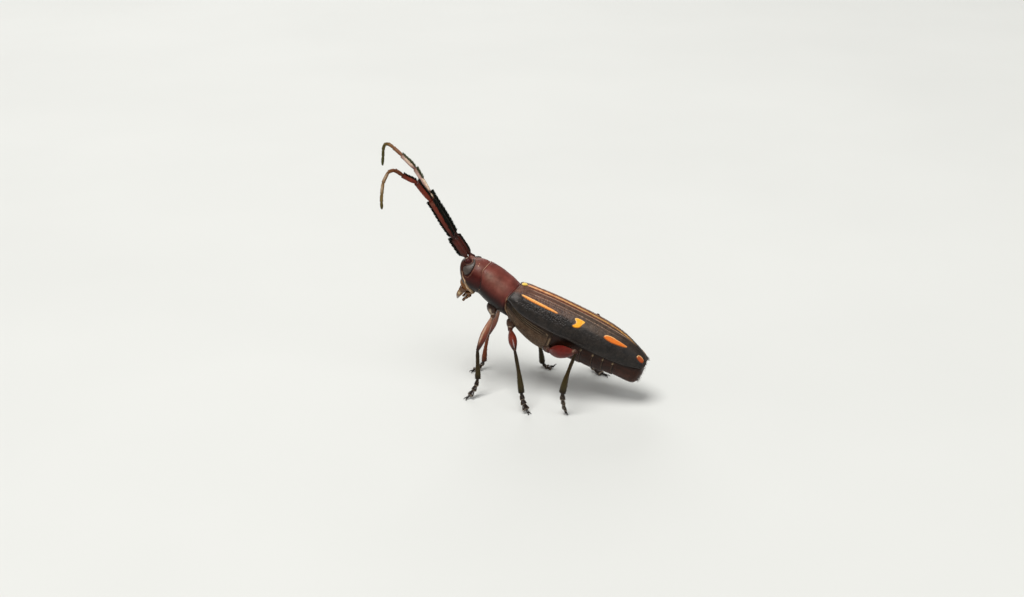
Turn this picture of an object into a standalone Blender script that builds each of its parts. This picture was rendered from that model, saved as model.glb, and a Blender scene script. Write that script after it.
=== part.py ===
"""Gryllica longhorn beetle, standing with its fore body raised, at life size.

Metres, +Z up. The head faces -Y and the left side is at +X. The ground is z = 0,
and the origin lies on it under the middle of the model's box.

The body is modelled in its own frame (x to the left, a along the body towards
the tail, k up from the wing cases' base) and hangs on one empty that pitches it.
Lengths below are in millimetres and angles in degrees.
"""

import math

import bmesh
import bpy
from mathutils import Vector

MM = 0.001

# ---------------------------------------------------------------- stance
PITCH = 22.25          # body axis over the ground, head up
BASE_HEIGHT = 6.20     # front of the wing cases' seam over the ground
BASE_Y = 0.80          # the same point along Y
GAP = 0.02             # clearance between neighbouring pieces
SOLE_LEVEL = 0.0       # all six feet end here, each on a small flat

# ---------------------------------------------------------------- body sizes
ELYTRON_THICKNESS = 0.50
ELYTRA_END = 8.22
THORAX_END = 2.90
TAIL_END = 8.33
NECK = -1.95           # seam between head and prothorax

# profiles along the body: (a, value)
ELYTRA_TOP = ((-0.10, 0.03), (0.4, 0.18), (1.1, 0.27), (2.1, 0.35), (3.5, 0.40), (4.8, 0.40),
              (5.7, 0.34), (6.5, 0.19), (7.2, -0.03), (7.7, -0.24), (8.1, -0.42), (8.22, -0.54))
ELYTRA_HALF_WIDTH = ((-0.10, 1.20), (0.3, 1.33), (1.0, 1.37), (2.5, 1.38), (4.2, 1.38), (5.3, 1.33),
                     (6.2, 1.18), (7.0, 0.97), (7.6, 0.77), (8.0, 0.58), (8.22, 0.38))
ELYTRA_MARGIN = ((-0.10, -0.62), (0.35, -0.78), (1.0, -0.97), (2.5, -1.05), (4.0, -1.00), (6.0, -1.01),
                 (7.0, -1.02), (7.5, -0.98), (7.9, -0.92), (8.22, -0.82))
THORAX_BOTTOM = ((0.0, -2.00), (0.5, -2.18), (1.0, -2.42), (1.8, -2.66), (2.4, -2.74), (2.95, -2.70))
THORAX_HALF_WIDTH = ((0.0, 1.08), (0.5, 1.20), (1.2, 1.26), (2.95, 1.27))
ABDOMEN_BOTTOM = ((2.9, -2.62), (3.8, -2.58), (4.7, -2.49), (5.55, -2.42), (6.9, -2.21), (7.75, -2.17),
                  (8.1, -2.06), (8.33, -1.80))
ABDOMEN_HALF_WIDTH = ((2.9, 1.21), (4.5, 1.20), (5.6, 1.12), (6.6, 0.98), (7.3, 0.86), (7.9, 0.72), (8.33, 0.44))
STERNITE_ENDS = (4.25, 5.15, 6.0, 6.72)   # hind edges of the ventral plates
STERNITE_STEP = 0.035

# prothorax: (a, centre k, half width, half height)
PROTHORAX = ((-1.90, -0.62, 0.955, 0.93), (-1.80, -0.64, 1.01, 0.97), (-1.40, -0.72, 1.07, 1.01),
             (-1.00, -0.82, 1.10, 1.01), (-0.60, -0.91, 1.11, 1.00), (-0.25, -0.99, 1.11, 0.95),
             (-0.03, -1.02, 1.12, 0.92))
# its front edge, where the head begins, bows forward beside the crown: (angle from the top, shift)
FRONT_EDGE = ((0, -0.12), (25, -0.16), (46, -0.19), (64, -0.12), (92, -0.01), (128, 0.04), (180, 0.05))
# the prothorax's hind edge runs forward at the shoulders and back underneath: (angle from the top, shift)
BASE_EDGE = ((0, 0.0), (35, -0.07), (75, -0.21), (100, -0.14), (125, 0.08), (150, 0.18), (180, 0.20))
# head: (centre a, centre k, forward tilt of the section, half width, half height)
HEAD = ((-1.94, -0.62, 1, 0.93, 0.91), (-2.30, -0.64, 8, 0.96, 0.95), (-2.65, -0.69, 16, 0.94, 0.93),
        (-2.95, -0.76, 24, 0.89, 0.88), (-3.15, -0.83, 30, 0.80, 0.80), (-3.27, -0.88, 33, 0.62, 0.64),
        (-3.32, -0.90, 34, 0.30, 0.34))
# muzzle under the face, which carries the mouth: (centre a, centre k, half width, half length)
MUZZLE = ((-2.74, -0.95, 0.62, 0.52), (-2.745, -1.20, 0.66, 0.525), (-2.75, -1.42, 0.62, 0.50), (-2.71, -1.66, 0.50, 0.40))
ANTENNA_SOCKET = (0.27, -3.34, 0.07)      # centre of the scape's ball, left side (x, a, k)
# the eye's two edges from the cheek up round the socket: (outer row, outer angle, inner row, inner angle)
EYE_EDGE = ((3.45, 60, 3.30, 52), (3.00, 78, 2.85, 46), (2.45, 77, 2.50, 40), (2.05, 66, 2.25, 35),
            (1.80, 48, 2.10, 30), (1.75, 30, 2.12, 23), (1.92, 17, 2.25, 15), (2.10, 10, 2.32, 12))
EYE_HEIGHT = 0.09

# ---------------------------------------------------------------- antennae
# one row a length: (length, heading from straight ahead to the left, rise over the ground,
#                    half thickness up and down, half thickness across)
ANTENNA_LEFT = {
    "scape": ((1.39, 4, 54, 0.31, 0.24),),
    "third": ((2.58, 5, 56, 0.34, 0.25),),
    "fourth": ((1.47, 51, 52, 0.28, 0.25), (0.94, 40, 42, 0.25, 0.25)),
    "bend": ((0.56, 26, 44, 0.25, 0.25), (0.48, 14, -28, 0.25, 0.25), (0.61, 16, -65, 0.25, 0.25)),
    "tip": ((0.70, 40, -84, 0.25, 0.25), (0.85, 75, -88, 0.25, 0.25)),
}
ANTENNA_RIGHT = {
    "scape": ((1.42, -3, 54, 0.31, 0.24),),
    "third": ((2.71, -5, 53, 0.34, 0.25),),
    "fourth": ((1.61, -23, 51, 0.28, 0.25), (1.09, -21, 29, 0.25, 0.25)),
    "bend": ((0.72, -17, 22, 0.25, 0.25), (0.42, -15, 24, 0.25, 0.25), (0.43, -16, -48, 0.25, 0.25)),
    "tip": ((0.48, -60, -83, 0.25, 0.25), (0.65, -51, -83, 0.25, 0.25)),
}

# ---------------------------------------------------------------- legs
# coxa: centre (x, a, k) and half thickness. hip: where the femur begins (x, a, k).
# femur, tibia: (length, heading from straight ahead to the left, rise). foot: (x, y) on the ground.
LEGS = {
    "front_left": dict(coxa=(0.40, -0.98, -1.78, 0.34), hip=(0.60, -0.66, -2.22),
                       femur=(2.13, 59, -57, 0.31), tibia=(1.65, 109, -70), foot=(2.36, -1.62)),
    "front_right": dict(coxa=(-0.40, -0.98, -1.78, 0.34), hip=(-0.60, -0.66, -2.22),
                        femur=(2.35, -44, -62, 0.31), tibia=(1.80, -13, -76), foot=(-1.13, -2.42)),
    "middle_left": dict(coxa=(0.56, 0.44, -2.06, 0.32), hip=(0.85, 0.56, -2.33),
                        femur=(1.73, 117, -20, 0.31), tibia=(2.43, 129, -64.5), foot=(3.31, 2.23)),
    "middle_right": dict(coxa=(-0.56, 0.44, -2.06, 0.32), hip=(-0.85, 0.56, -2.33),
                         femur=(2.26, -113, -46, 0.31), tibia=(1.98, -116, -76), foot=(-2.95, 1.98)),
    "hind_left": dict(coxa=(0.62, 2.80, -2.28, 0.34), hip=(1.11, 3.08, -2.28),
                      femur=(2.45, 148, 14, 0.40), tibia=(2.38, 39, -68), foot=(2.82, 4.24)),
    "hind_right": dict(coxa=(-0.62, 2.80, -2.28, 0.34), hip=(-1.11, 3.08, -2.28),
                       femur=(2.57, -140, 20, 0.40), tibia=(2.55, -52, -72), foot=(-3.05, 4.92)),
}
LIMB_HALF = 0.25       # half thickness of the thin limb pieces
KNEE_HALF = 0.26
HIP_HALF = 0.23

COLOURS = {
    "elytra": ((0.022, 0.018, 0.018), 0.38), "maroon": ((0.110, 0.022, 0.020), 0.36),
    "sternum": ((0.085, 0.050, 0.034), 0.55), "abdomen": ((0.055, 0.022, 0.014), 0.42),
    "eye": ((0.060, 0.050, 0.042), 0.55), "mouth": ((0.180, 0.085, 0.018), 0.25),
    "femur": ((0.170, 0.030, 0.018), 0.28), "tibia": ((0.030, 0.020, 0.008), 0.35),
    "antenna": ((0.105, 0.022, 0.012), 0.40), "antenna_tip": ((0.150, 0.110, 0.050), 0.50),
    "scutellum": ((0.780, 0.660, 0.160), 0.45),
}


# ---------------------------------------------------------------- small tools
def profile(rows):
    """A smooth curve through (position, value) rows, read with curve(position)."""
    xs, ys = [r[0] for r in rows], [r[1] for r in rows]
    n = len(xs)
    slopes = []
    for i in range(n):
        lo, hi = max(i - 1, 0), min(i + 1, n - 1)
        slopes.append((ys[hi] - ys[lo]) / (xs[hi] - xs[lo]))

    def curve(x):
        x = min(max(x, xs[0]), xs[-1])
        i = min(max(sum(1 for v in xs if v <= x) - 1, 0), n - 2)
        h = xs[i + 1] - xs[i]
        t = (x - xs[i]) / h
        return ((2 * t**3 - 3 * t**2 + 1) * ys[i] + (t**3 - 2 * t**2 + t) * h * slopes[i]
                + (-2 * t**3 + 3 * t**2) * ys[i + 1] + (t**3 - t**2) * h * slopes[i + 1])

    return curve


elytra_top = profile(ELYTRA_TOP)
elytra_half_width = profile(ELYTRA_HALF_WIDTH)
elytra_margin = profile(ELYTRA_MARGIN)
thorax_bottom = profile(THORAX_BOTTOM)
thorax_half_width = profile(THORAX_HALF_WIDTH)
abdomen_bottom = profile(ABDOMEN_BOTTOM)
abdomen_half_width = profile(ABDOMEN_HALF_WIDTH)
base_edge = profile(BASE_EDGE)
front_edge = profile(FRONT_EDGE)


def material(name):
    colour, roughness = COLOURS[name]
    m = bpy.data.materials.get(name) or bpy.data.materials.new(name)
    m.use_nodes = True
    p = m.node_tree.nodes["Principled BSDF"]
    p.inputs["Base Color"].default_value = (*colour, 1.0)
    p.inputs["Roughness"].default_value = roughness
    p.inputs["Metallic"].default_value = 0.0
    return m


def new_object(name, bm, look, parent=None, where=None):
    """Turns a bmesh in millimetres into a named object, smooth but for its sharp edges."""
    bmesh.ops.scale(bm, vec=(MM, MM, MM), verts=bm.verts)
    bmesh.ops.recalc_face_normals(bm, faces=bm.faces)
    mesh = bpy.data.meshes.new(name)
    bm.to_mesh(mesh)
    bm.free()
    mesh.shade_smooth()
    mesh.set_sharp_from_angle(angle=math.radians(45))
    o = bpy.data.objects.new(name, mesh)
    (where or beetle).objects.link(o)
    if look:
        mesh.materials.append(material(look))
    if parent:
        o.parent = parent
    return o


def loft(rings):
    """A closed bmesh through rings of equally many points, each end closed by a fan."""
    bm = bmesh.new()
    made = [[bm.verts.new(p) for p in ring] for ring in rings]
    n = len(made[0])
    for one, two in zip(made, made[1:]):
        for i in range(n):
            j = (i + 1) % n
            bm.faces.new((one[i], one[j], two[j], two[i]))
    for ring in (made[0], made[-1]):
        centre = bm.verts.new(sum((v.co for v in ring), Vector()) / n)
        for i in range(n):
            bm.faces.new((ring[i], ring[(i + 1) % n], centre))
    return bm


def oval(angle, half_width, half_height, squareness=2.0):
    """A point of a rounded section, angle 0 at the top and 90 on the left."""
    s, c = math.sin(math.radians(angle)), math.cos(math.radians(angle))
    e = 2.0 / squareness
    return (half_width * math.copysign(abs(s) ** e, s), half_height * math.copysign(abs(c) ** e, c))


def combine(target, tool, operation):
    """Adds the tool's shape to the target, or takes it out, and keeps the tool out of sight."""
    m = target.modifiers.new(tool.name, "BOOLEAN")
    m.operation = operation
    m.solver = "EXACT"
    m.object = tool
    tool.hide_render = True
    tool.display_type = "WIRE"


def direction(heading, rise):
    """A unit vector: heading 0 is straight ahead (-Y), 90 is to the left (+X)."""
    h, r = math.radians(heading), math.radians(rise)
    return Vector((math.cos(r) * math.sin(h), -math.cos(r) * math.cos(h), math.sin(r)))


def to_world(x, a, k):
    """A point of the body's frame on the ground's axes, in millimetres."""
    c, s = math.cos(math.radians(PITCH)), math.sin(math.radians(PITCH))
    return Vector((x, BASE_Y + a * c + k * s, BASE_HEIGHT - a * s + k * c))


def across(way):
    """Two unit vectors square to a limb's direction: sideways and up."""
    side = Vector((0, 0, 1)).cross(way)
    if side.length < 0.15:
        side = Vector((1, 0, 0)) - way * way.x
    side.normalize()
    return side, way.cross(side).normalized()


def limb(points, halves, sides=10, socket=0.0, ball=True, wide=None):
    """A tapered limb piece along points. It starts with a hollow of radius socket round the first
    point, where the ball of the piece before it turns, or rounded if there is none, and ends in a
    ball round the last point. halves is the half thickness at each point, wide the one across."""
    points = [Vector(p) for p in points]
    wide = wide or halves
    rings, last_side = [], None
    ways = []
    for i, p in enumerate(points):
        before = (points[i] - points[i - 1]).normalized() if i else None
        after = (points[i + 1] - points[i]).normalized() if i + 1 < len(points) else None
        ways.append(((before or after) + (after or before)).normalized())
    frames = []
    for way in ways:
        side, up = across(way)
        if last_side is not None:
            side = (last_side - way * last_side.dot(way)).normalized()
            up = way.cross(side).normalized()
        last_side = side
        frames.append((way, side, up))

    def ring(at, frame, half, half_wide):
        way, side, up = frame
        return [at + side * half_wide * math.cos(t) + up * half * math.sin(t)
                for t in (2 * math.pi * i / sides for i in range(sides))]

    way, side, up = frames[0]
    if socket:
        for share in (0.35, 0.75, 1.0):
            r, w = halves[0] * share, wide[0] * share
            deep = math.sqrt(max(socket**2 - min(max(r, w), socket * 0.97) ** 2, 0))
            rings.append(ring(points[0] + way * deep, frames[0], r, w))
    else:
        for t in (75, 45, 18):
            s, c = math.sin(math.radians(t)), math.cos(math.radians(t))
            rings.append(ring(points[0] - way * halves[0] * s, frames[0], halves[0] * c, wide[0] * c))
    for i in range(1, len(points) - 1):
        rings.append(ring(points[i], frames[i], halves[i], wide[i]))
    way, side, up = frames[-1]
    rings.append(ring(points[-1], frames[-1], halves[-1], wide[-1]))
    if ball:
        for t in (35, 65):
            s, c = math.sin(math.radians(t)), math.cos(math.radians(t))
            rings.append(ring(points[-1] + way * halves[-1] * s, frames[-1], halves[-1] * c, wide[-1] * c))
    return loft(rings)


# ---------------------------------------------------------------- scene
for o in list(bpy.data.objects):
    bpy.data.objects.remove(o, do_unlink=True)
beetle = bpy.data.collections.new("gryllica")
cutters = bpy.data.collections.new("cutters")
bpy.context.scene.collection.children.link(beetle)
bpy.context.scene.collection.children.link(cutters)

body = bpy.data.objects.new("body_axis", None)
body.rotation_euler = (-math.radians(PITCH), 0, 0)
body.location = (0, BASE_Y * MM, BASE_HEIGHT * MM)
beetle.objects.link(body)


# ---------------------------------------------------------------- wing cases
def elytron(side):
    """One wing case, side 1 for the left: a domed shell from the seam to its outer margin."""
    rings = []
    for i in range(17):
        u = i / 16
        a = 0.03 + (ELYTRA_END - 0.03) * (1.55 * u - 0.55 * u**2.2)
        a = min(a, ELYTRA_END)
        top, half, low = elytra_top(a), elytra_half_width(a), elytra_margin(a)
        tall = top - low
        inner_tall, inner_half = max(tall - ELYTRON_THICKNESS, 0.05), max(half - ELYTRON_THICKNESS, 0.06)
        fade = max(1 - u * 8, 0)
        ring = []
        for t in (0, 12, 25, 38, 51, 64, 77, 90):
            x, k = oval(t, half, tall, 2.1)
            ring.append(Vector((max(x, GAP / 2), a + GAP + base_edge(t) * fade, low + k)))
        for t in (90, 68, 45, 22, 0):
            x, k = oval(t, inner_half, inner_tall, 2.1)
            ring.append(Vector((max(x, GAP / 2), a + GAP + base_edge(t) * fade, low + k)))
        rings.append([Vector((p.x * side, p.y, p.z)) for p in ring])
    name = "elytron_left" if side > 0 else "elytron_right"
    return new_object(name, loft(rings), "elytra", body)


for side in (1, -1):
    elytron(side)


# ---------------------------------------------------------------- thorax and abdomen
def trunk_ring(a, half, bottom, shift=lambda t: 0.0, lift=0.0):
    """A section under the wing cases: a dome inside them, a ledge below their margin, and the belly."""
    clear = GAP + 0.012
    top, out, low = elytra_top(a), elytra_half_width(a), elytra_margin(a) - clear
    tall = max(top - low - clear - ELYTRON_THICKNESS - clear, 0.02)
    inner = max(out - ELYTRON_THICKNESS - clear, 0.03)
    left = []
    for t in (0, 22, 45, 68, 90):
        x, k = oval(t, inner, tall, 2.1)
        left.append((x, a + shift(t), low + k))
    for t in (90, 108, 126, 144, 162, 180):
        x, k = oval(t, half, low - bottom - lift, 2.25)
        left.append((x, a + shift(t), low + k))
    right = [(-x, y, k) for x, y, k in reversed(left[1:-1])]
    return [Vector(p) for p in left + right]


stations = [0.06 + (THORAX_END - GAP - 0.06) * i / 8 for i in range(9)]
rings = [trunk_ring(a, thorax_half_width(a), thorax_bottom(a),
                    (lambda fade: lambda t: (base_edge(t) if t > 60 else base_edge(t)) * fade)(max(1 - i * 0.5, 0)))
         for i, a in enumerate(stations)]
thorax = new_object("thorax", loft(rings), "sternum", body)

marks = [THORAX_END + GAP]
for end in STERNITE_ENDS:
    marks += [end - 0.01, end + 0.03]
marks += [7.2, 7.7, 8.05, 8.22, TAIL_END]
middle = [(m + n) / 2 for m, n in zip(marks, marks[1:]) if n - m > 0.6]
rings = []
for a in sorted(marks + middle):
    past = [e for e in STERNITE_ENDS if a > e]
    since = a - (past[-1] if past else THORAX_END)
    lift = STERNITE_STEP * max(1 - since / 0.5, 0)
    rings.append(trunk_ring(a, abdomen_half_width(a) - lift, abdomen_bottom(a), lift=lift))
abdomen = new_object("abdomen", loft(rings), "abdomen", body)

# ---------------------------------------------------------------- prothorax
rings = []
for i, (a, k, half, tall) in enumerate(PROTHORAX):
    behind = max(0, (a + 0.9) / 0.87) ** 1.5
    ahead = max(0, (-1.25 - a) / 0.65)
    ring = []
    for j in range(24):
        t = min(15 * j, 360 - 15 * j)
        x, z = oval(15 * j, half, tall, 2.1)
        ring.append(Vector((x, a + base_edge(t) * behind + front_edge(t) * ahead, k + z)))
    rings.append(ring)
prothorax = new_object("prothorax", loft(rings), "maroon", body)


# ---------------------------------------------------------------- head
head_curves = [profile([(i, row[c]) for i, row in enumerate(HEAD)]) for c in range(5)]


def head_point(station, angle):
    """A point of the head's surface: station counts the rows of HEAD, angle is 0 on top and 90 on the left."""
    a, k, tilt, half, tall = (c(station) for c in head_curves)
    s, c = math.sin(math.radians(tilt)), math.cos(math.radians(tilt))
    x, z = oval(angle, half, tall, 2.15)
    a += front_edge(min(angle % 360, 360 - angle % 360)) * max(1 - station, 0)
    return Vector((x, a - s * z, k + c * z))


def head_normal(station, angle):
    """The outward direction at a point of the head's surface."""
    along = head_point(station + 0.03, angle) - head_point(station - 0.03, angle)
    round_ = head_point(station, angle + 2) - head_point(station, angle - 2)
    return along.cross(round_).normalized()


head = new_object("head", loft([[head_point(i, 15 * j) for j in range(24)] for i in range(len(HEAD))]), "maroon", body)
rings = []
for a, k, half, long in MUZZLE:
    sections = [oval(18 * j, half, long, 2.3) for j in range(20)]
    rings.append([Vector((x, a - y, k)) for x, y in sections])
muzzle = new_object("muzzle", loft(rings), "maroon", body, cutters)
combine(head, muzzle, "UNION")


def eye(side):
    """A low kidney-shaped dome bent round the antenna's socket, from the cheek up to the brow."""
    outer_station, outer_angle, inner_station, inner_angle = (
        profile([(i, row[c]) for i, row in enumerate(EYE_EDGE)]) for c in range(4))
    along_n, across_n = 9, 3
    low, high = [], []
    for i in range(along_n + 1):
        u = (len(EYE_EDGE) - 1) * i / along_n
        row_low, row_high = [], []
        for j in range(across_n + 1):
            v = j / across_n
            station = inner_station(u) + (outer_station(u) - inner_station(u)) * v
            angle = inner_angle(u) + (outer_angle(u) - inner_angle(u)) * v
            spot, normal = head_point(station, angle), head_normal(station, angle)
            bulge = EYE_HEIGHT * (0.35 + 0.65 * math.sqrt(math.sin(math.pi * (0.1 + 0.8 * i / along_n))))
            bulge *= 0.45 + 0.55 * math.sin(math.pi * v)
            row_low.append(spot + normal * GAP)
            row_high.append(spot + normal * (GAP + bulge))
        low.append(row_low)
        high.append(row_high)
    bm = bmesh.new()
    grid = [[[bm.verts.new((p.x * side, p.y, p.z)) for p in row] for row in sheet] for sheet in (low, high)]
    for sheet in grid:
        for i in range(along_n):
            for j in range(across_n):
                bm.faces.new((sheet[i][j], sheet[i + 1][j], sheet[i + 1][j + 1], sheet[i][j + 1]))
    edge = ([(i, 0) for i in range(along_n)] + [(along_n, j) for j in range(across_n)]
            + [(i, across_n) for i in range(along_n, 0, -1)] + [(0, j) for j in range(across_n, 0, -1)])
    for (i, j), (m, n) in zip(edge, edge[1:] + edge[:1]):
        bm.faces.new((grid[0][i][j], grid[0][m][n], grid[1][m][n], grid[1][i][j]))
    return new_object("eye_left" if side > 0 else "eye_right", bm, "eye", body)


for side in (1, -1):
    eye(side)


# ---------------------------------------------------------------- mouth
def mouth_piece(name, points, halves, wide, sides=7):
    return new_object(name, limb([Vector(p) for p in points], halves, sides, ball=True, wide=wide), "mouth", body)


mouth_piece("labrum", ((0, -3.01, -1.82), (0, -3.08, -2.10), (0, -3.04, -2.42)), (0.12, 0.13, 0.10), (0.22, 0.22, 0.16))
for side, word in ((1, "left"), (-1, "right")):
    mouth_piece("mandible_" + word,
                ((0.38 * side, -2.86, -1.85), (0.39 * side, -2.92, -2.07), (0.31 * side, -2.94, -2.36)),
                (0.15, 0.15, 0.11), (0.13, 0.13, 0.11))
    mouth_piece("palp_" + word,
                ((0.24 * side, -2.40, -1.82), (0.26 * side, -2.53, -2.06), (0.21 * side, -2.60, -2.38)),
                (0.13, 0.13, 0.11), (0.14, 0.13, 0.11))

# ---------------------------------------------------------------- scutellum
bm = bmesh.new()
bmesh.ops.create_uvsphere(bm, u_segments=12, v_segments=6, radius=1.0)
for v in bm.verts:
    v.co = Vector((v.co.x * (0.17 - 0.05 * v.co.y), 0.15 + v.co.y * 0.17, 0.245 + v.co.z * 0.075 + v.co.y * 0.035))
new_object("scutellum", bm, "scutellum", body)


# ---------------------------------------------------------------- antennae
def antenna(side, table):
    """The lengths of one antenna, each a node, from the socket outwards."""
    word = "left" if side > 0 else "right"
    x, a, k = ANTENNA_SOCKET
    at = to_world(x * side, a, k)
    socket = 0.0
    for node, rows in table.items():
        points, halves, wide = [at], [rows[0][3]], [rows[0][4]]
        for i, (length, heading, rise, half, half_wide) in enumerate(rows):
            way = direction(heading, rise)
            start = points[-1]
            for share in (0.5, 1.0):
                points.append(start + way * length * share)
                halves.append(half)
                wide.append(half_wide)
        if node == "scape":
            halves[0], wide[0] = 0.22, 0.22
            halves[-1], wide[-1] = 0.27, 0.25
        if node == "third":
            halves[-1], wide[-1] = 0.25, 0.25
        if node == "fourth":
            halves[-1] = wide[-1] = 0.24
        if node == "tip":
            halves[-1] = wide[-1] = 0.20
            points[-1] = points[-1] - way * 0.18
        if socket:
            halves[0] = min(halves[0], socket * 0.92)
            wide[0] = min(wide[0], socket * 0.92)
        bm = limb(points, halves, 8, socket=socket, wide=wide)
        new_object(f"antenna_{word}_{node}", bm, "antenna" if node in ("scape", "third", "fourth") else "antenna_tip")
        if node == "scape":
            bm = limb(points, [h + GAP for h in halves], 10, wide=[w + GAP for w in wide])
            cutter = new_object("socket_" + word, bm, None, where=cutters)
            combine(head, cutter, "DIFFERENCE")
        at, socket = points[-1], halves[-1] + 0.035


antenna(1, ANTENNA_LEFT)
antenna(-1, ANTENNA_RIGHT)

# ---------------------------------------------------------------- legs
for name, leg in LEGS.items():
    look_side = 1 if "left" in name else -1
    x, a, k, half = leg["coxa"]
    root, hip = to_world(x, a, k), to_world(*leg["hip"])
    hosts = {"front": (prothorax,), "middle": (thorax,), "hind": (thorax, abdomen)}[name.split("_")[0]]
    path = [root, root.lerp(hip, 0.5), hip]
    halves = [half, half * 0.92, HIP_HALF]
    new_object(name + "_coxa", limb(path, halves, 10), "abdomen")
    cutter = new_object(name + "_hollow", limb(path, [h + GAP for h in halves], 10), None, where=cutters)
    for host in hosts:
        combine(host, cutter, "DIFFERENCE")

    length, heading, rise, thick = leg["femur"]
    way = direction(heading, rise)
    knee = hip + way * length
    path = [hip] + [hip + way * length * share for share in (0.20, 0.38, 0.58, 0.78)] + [knee]
    halves = [HIP_HALF * 0.95, thick * 0.84, thick, thick * 0.98, max(thick * 0.64, 0.26), KNEE_HALF]
    new_object(name + "_femur", limb(path, halves, 10, socket=HIP_HALF + 0.035), "femur")

    length, heading, rise = leg["tibia"]
    way = direction(heading, rise)
    ankle = knee + way * length
    path = [knee] + [knee + way * length * share for share in (0.35, 0.7)] + [ankle]
    halves = [LIMB_HALF * 0.78, LIMB_HALF, LIMB_HALF + 0.01, LIMB_HALF]
    new_object(name + "_tibia", limb(path, halves, 10, socket=KNEE_HALF + 0.05), "tibia")

    fx, fy = leg["foot"]
    foot = Vector((fx, fy, SOLE_LEVEL + 0.21))
    path = [ankle, ankle.lerp(foot, 0.3), ankle.lerp(foot, 0.65), foot]
    if ankle.z < 0.6:       # a foot laid flat
        path = [ankle, Vector((*ankle.lerp(foot, 0.4).xy, 0.235)), Vector((*ankle.lerp(foot, 0.7).xy, 0.235)),
                Vector((fx, fy, 0.235))]
    halves = [LIMB_HALF * 0.9, LIMB_HALF, LIMB_HALF + 0.01, LIMB_HALF]
    bm = limb(path, halves, 10, socket=LIMB_HALF + 0.035)
    cutaway = bmesh.ops.bisect_plane(bm, geom=bm.verts[:] + bm.edges[:] + bm.faces[:], dist=1e-6,
                                     plane_co=(0, 0, SOLE_LEVEL), plane_no=(0, 0, -1), clear_outer=True)
    rim = [e for e in cutaway["geom_cut"] if isinstance(e, bmesh.types.BMEdge)]
    if rim:
        bmesh.ops.holes_fill(bm, edges=rim, sides=0)
    new_object(name + "_tarsus", bm, "tibia")
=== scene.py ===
"""Looks of the gryllica longhorn beetle: dense shells, relief, markings, hairs, claws, floor, light and camera.

Lengths in the tables are millimetres and angles degrees. Body measures are (x to the left, a towards the
tail, k up from the wing cases' base); the side view's own measures are t, along the body, and q, up its back.
"""

import math

import bmesh
import bpy
import numpy as np
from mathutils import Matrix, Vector

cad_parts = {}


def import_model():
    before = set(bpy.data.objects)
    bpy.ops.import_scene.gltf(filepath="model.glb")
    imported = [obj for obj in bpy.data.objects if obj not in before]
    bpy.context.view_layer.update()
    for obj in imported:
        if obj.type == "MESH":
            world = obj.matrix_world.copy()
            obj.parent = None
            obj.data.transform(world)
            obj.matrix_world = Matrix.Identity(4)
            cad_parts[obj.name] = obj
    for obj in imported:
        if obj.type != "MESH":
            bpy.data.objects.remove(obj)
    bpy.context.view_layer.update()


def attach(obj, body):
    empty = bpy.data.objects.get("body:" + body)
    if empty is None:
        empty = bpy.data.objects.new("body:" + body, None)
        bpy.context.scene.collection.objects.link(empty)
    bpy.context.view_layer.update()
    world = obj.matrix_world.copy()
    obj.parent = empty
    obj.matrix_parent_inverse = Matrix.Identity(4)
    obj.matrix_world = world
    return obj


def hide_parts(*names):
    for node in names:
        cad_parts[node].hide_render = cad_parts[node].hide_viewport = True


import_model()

# ------------------------------------------------------------------ stance and sizes, as in the solids
PITCH, BASE_HEIGHT, BASE_Y = 22.25, 6.20, 0.80
ELYTRA_TOP = ((-0.10, 0.03), (0.4, 0.18), (1.1, 0.27), (2.1, 0.35), (3.5, 0.40), (4.8, 0.40),
              (5.7, 0.35), (6.5, 0.20), (7.2, -0.03), (7.7, -0.24), (8.1, -0.44), (8.30, -0.56))
ELYTRA_HALF_WIDTH = ((-0.10, 1.20), (0.3, 1.33), (1.0, 1.37), (2.5, 1.38), (4.2, 1.38), (5.3, 1.33),
                     (6.2, 1.18), (7.0, 0.97), (7.6, 0.78), (8.0, 0.62), (8.30, 0.47))
ELYTRA_MARGIN = ((-0.10, -0.62), (0.35, -0.78), (1.0, -0.97), (2.5, -1.05), (4.0, -1.00), (6.0, -1.01),
                 (7.0, -1.02), (7.5, -0.99), (7.9, -0.93), (8.30, -0.84))
THORAX_BOTTOM = ((0.0, -2.00), (0.5, -2.18), (1.0, -2.42), (1.8, -2.66), (2.4, -2.74), (2.95, -2.70))
THORAX_HALF_WIDTH = ((0.0, 1.08), (0.5, 1.20), (1.2, 1.26), (2.95, 1.27))
ABDOMEN_BOTTOM = ((2.9, -2.62), (3.8, -2.58), (4.7, -2.49), (5.55, -2.42), (6.9, -2.21), (7.75, -2.17),
                  (8.1, -2.06), (8.33, -1.80))
ABDOMEN_HALF_WIDTH = ((2.9, 1.21), (4.5, 1.20), (5.6, 1.12), (6.6, 0.98), (7.3, 0.86), (7.9, 0.72), (8.33, 0.50))
PROTHORAX = ((-1.99, -0.61, 0.965, 0.945), (-1.80, -0.64, 1.01, 0.97), (-1.40, -0.72, 1.07, 1.01),
             (-1.00, -0.82, 1.10, 1.01), (-0.60, -0.91, 1.11, 1.00), (-0.25, -0.99, 1.11, 0.95),
             (-0.03, -1.02, 1.12, 0.92))
FRONT_EDGE = ((0, -0.12), (25, -0.16), (46, -0.19), (64, -0.12), (92, -0.01), (128, 0.04), (180, 0.05))
BASE_EDGE = ((0, 0.0), (35, -0.07), (75, -0.21), (100, -0.14), (125, 0.08), (150, 0.18), (180, 0.20))
HEAD = ((-1.94, -0.62, 1, 0.93, 0.91), (-2.30, -0.64, 8, 0.96, 0.95), (-2.65, -0.69, 16, 0.94, 0.93),
        (-2.95, -0.76, 24, 0.89, 0.88), (-3.15, -0.83, 30, 0.80, 0.80), (-3.27, -0.88, 33, 0.62, 0.64),
        (-3.32, -0.90, 34, 0.30, 0.34))
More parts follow.
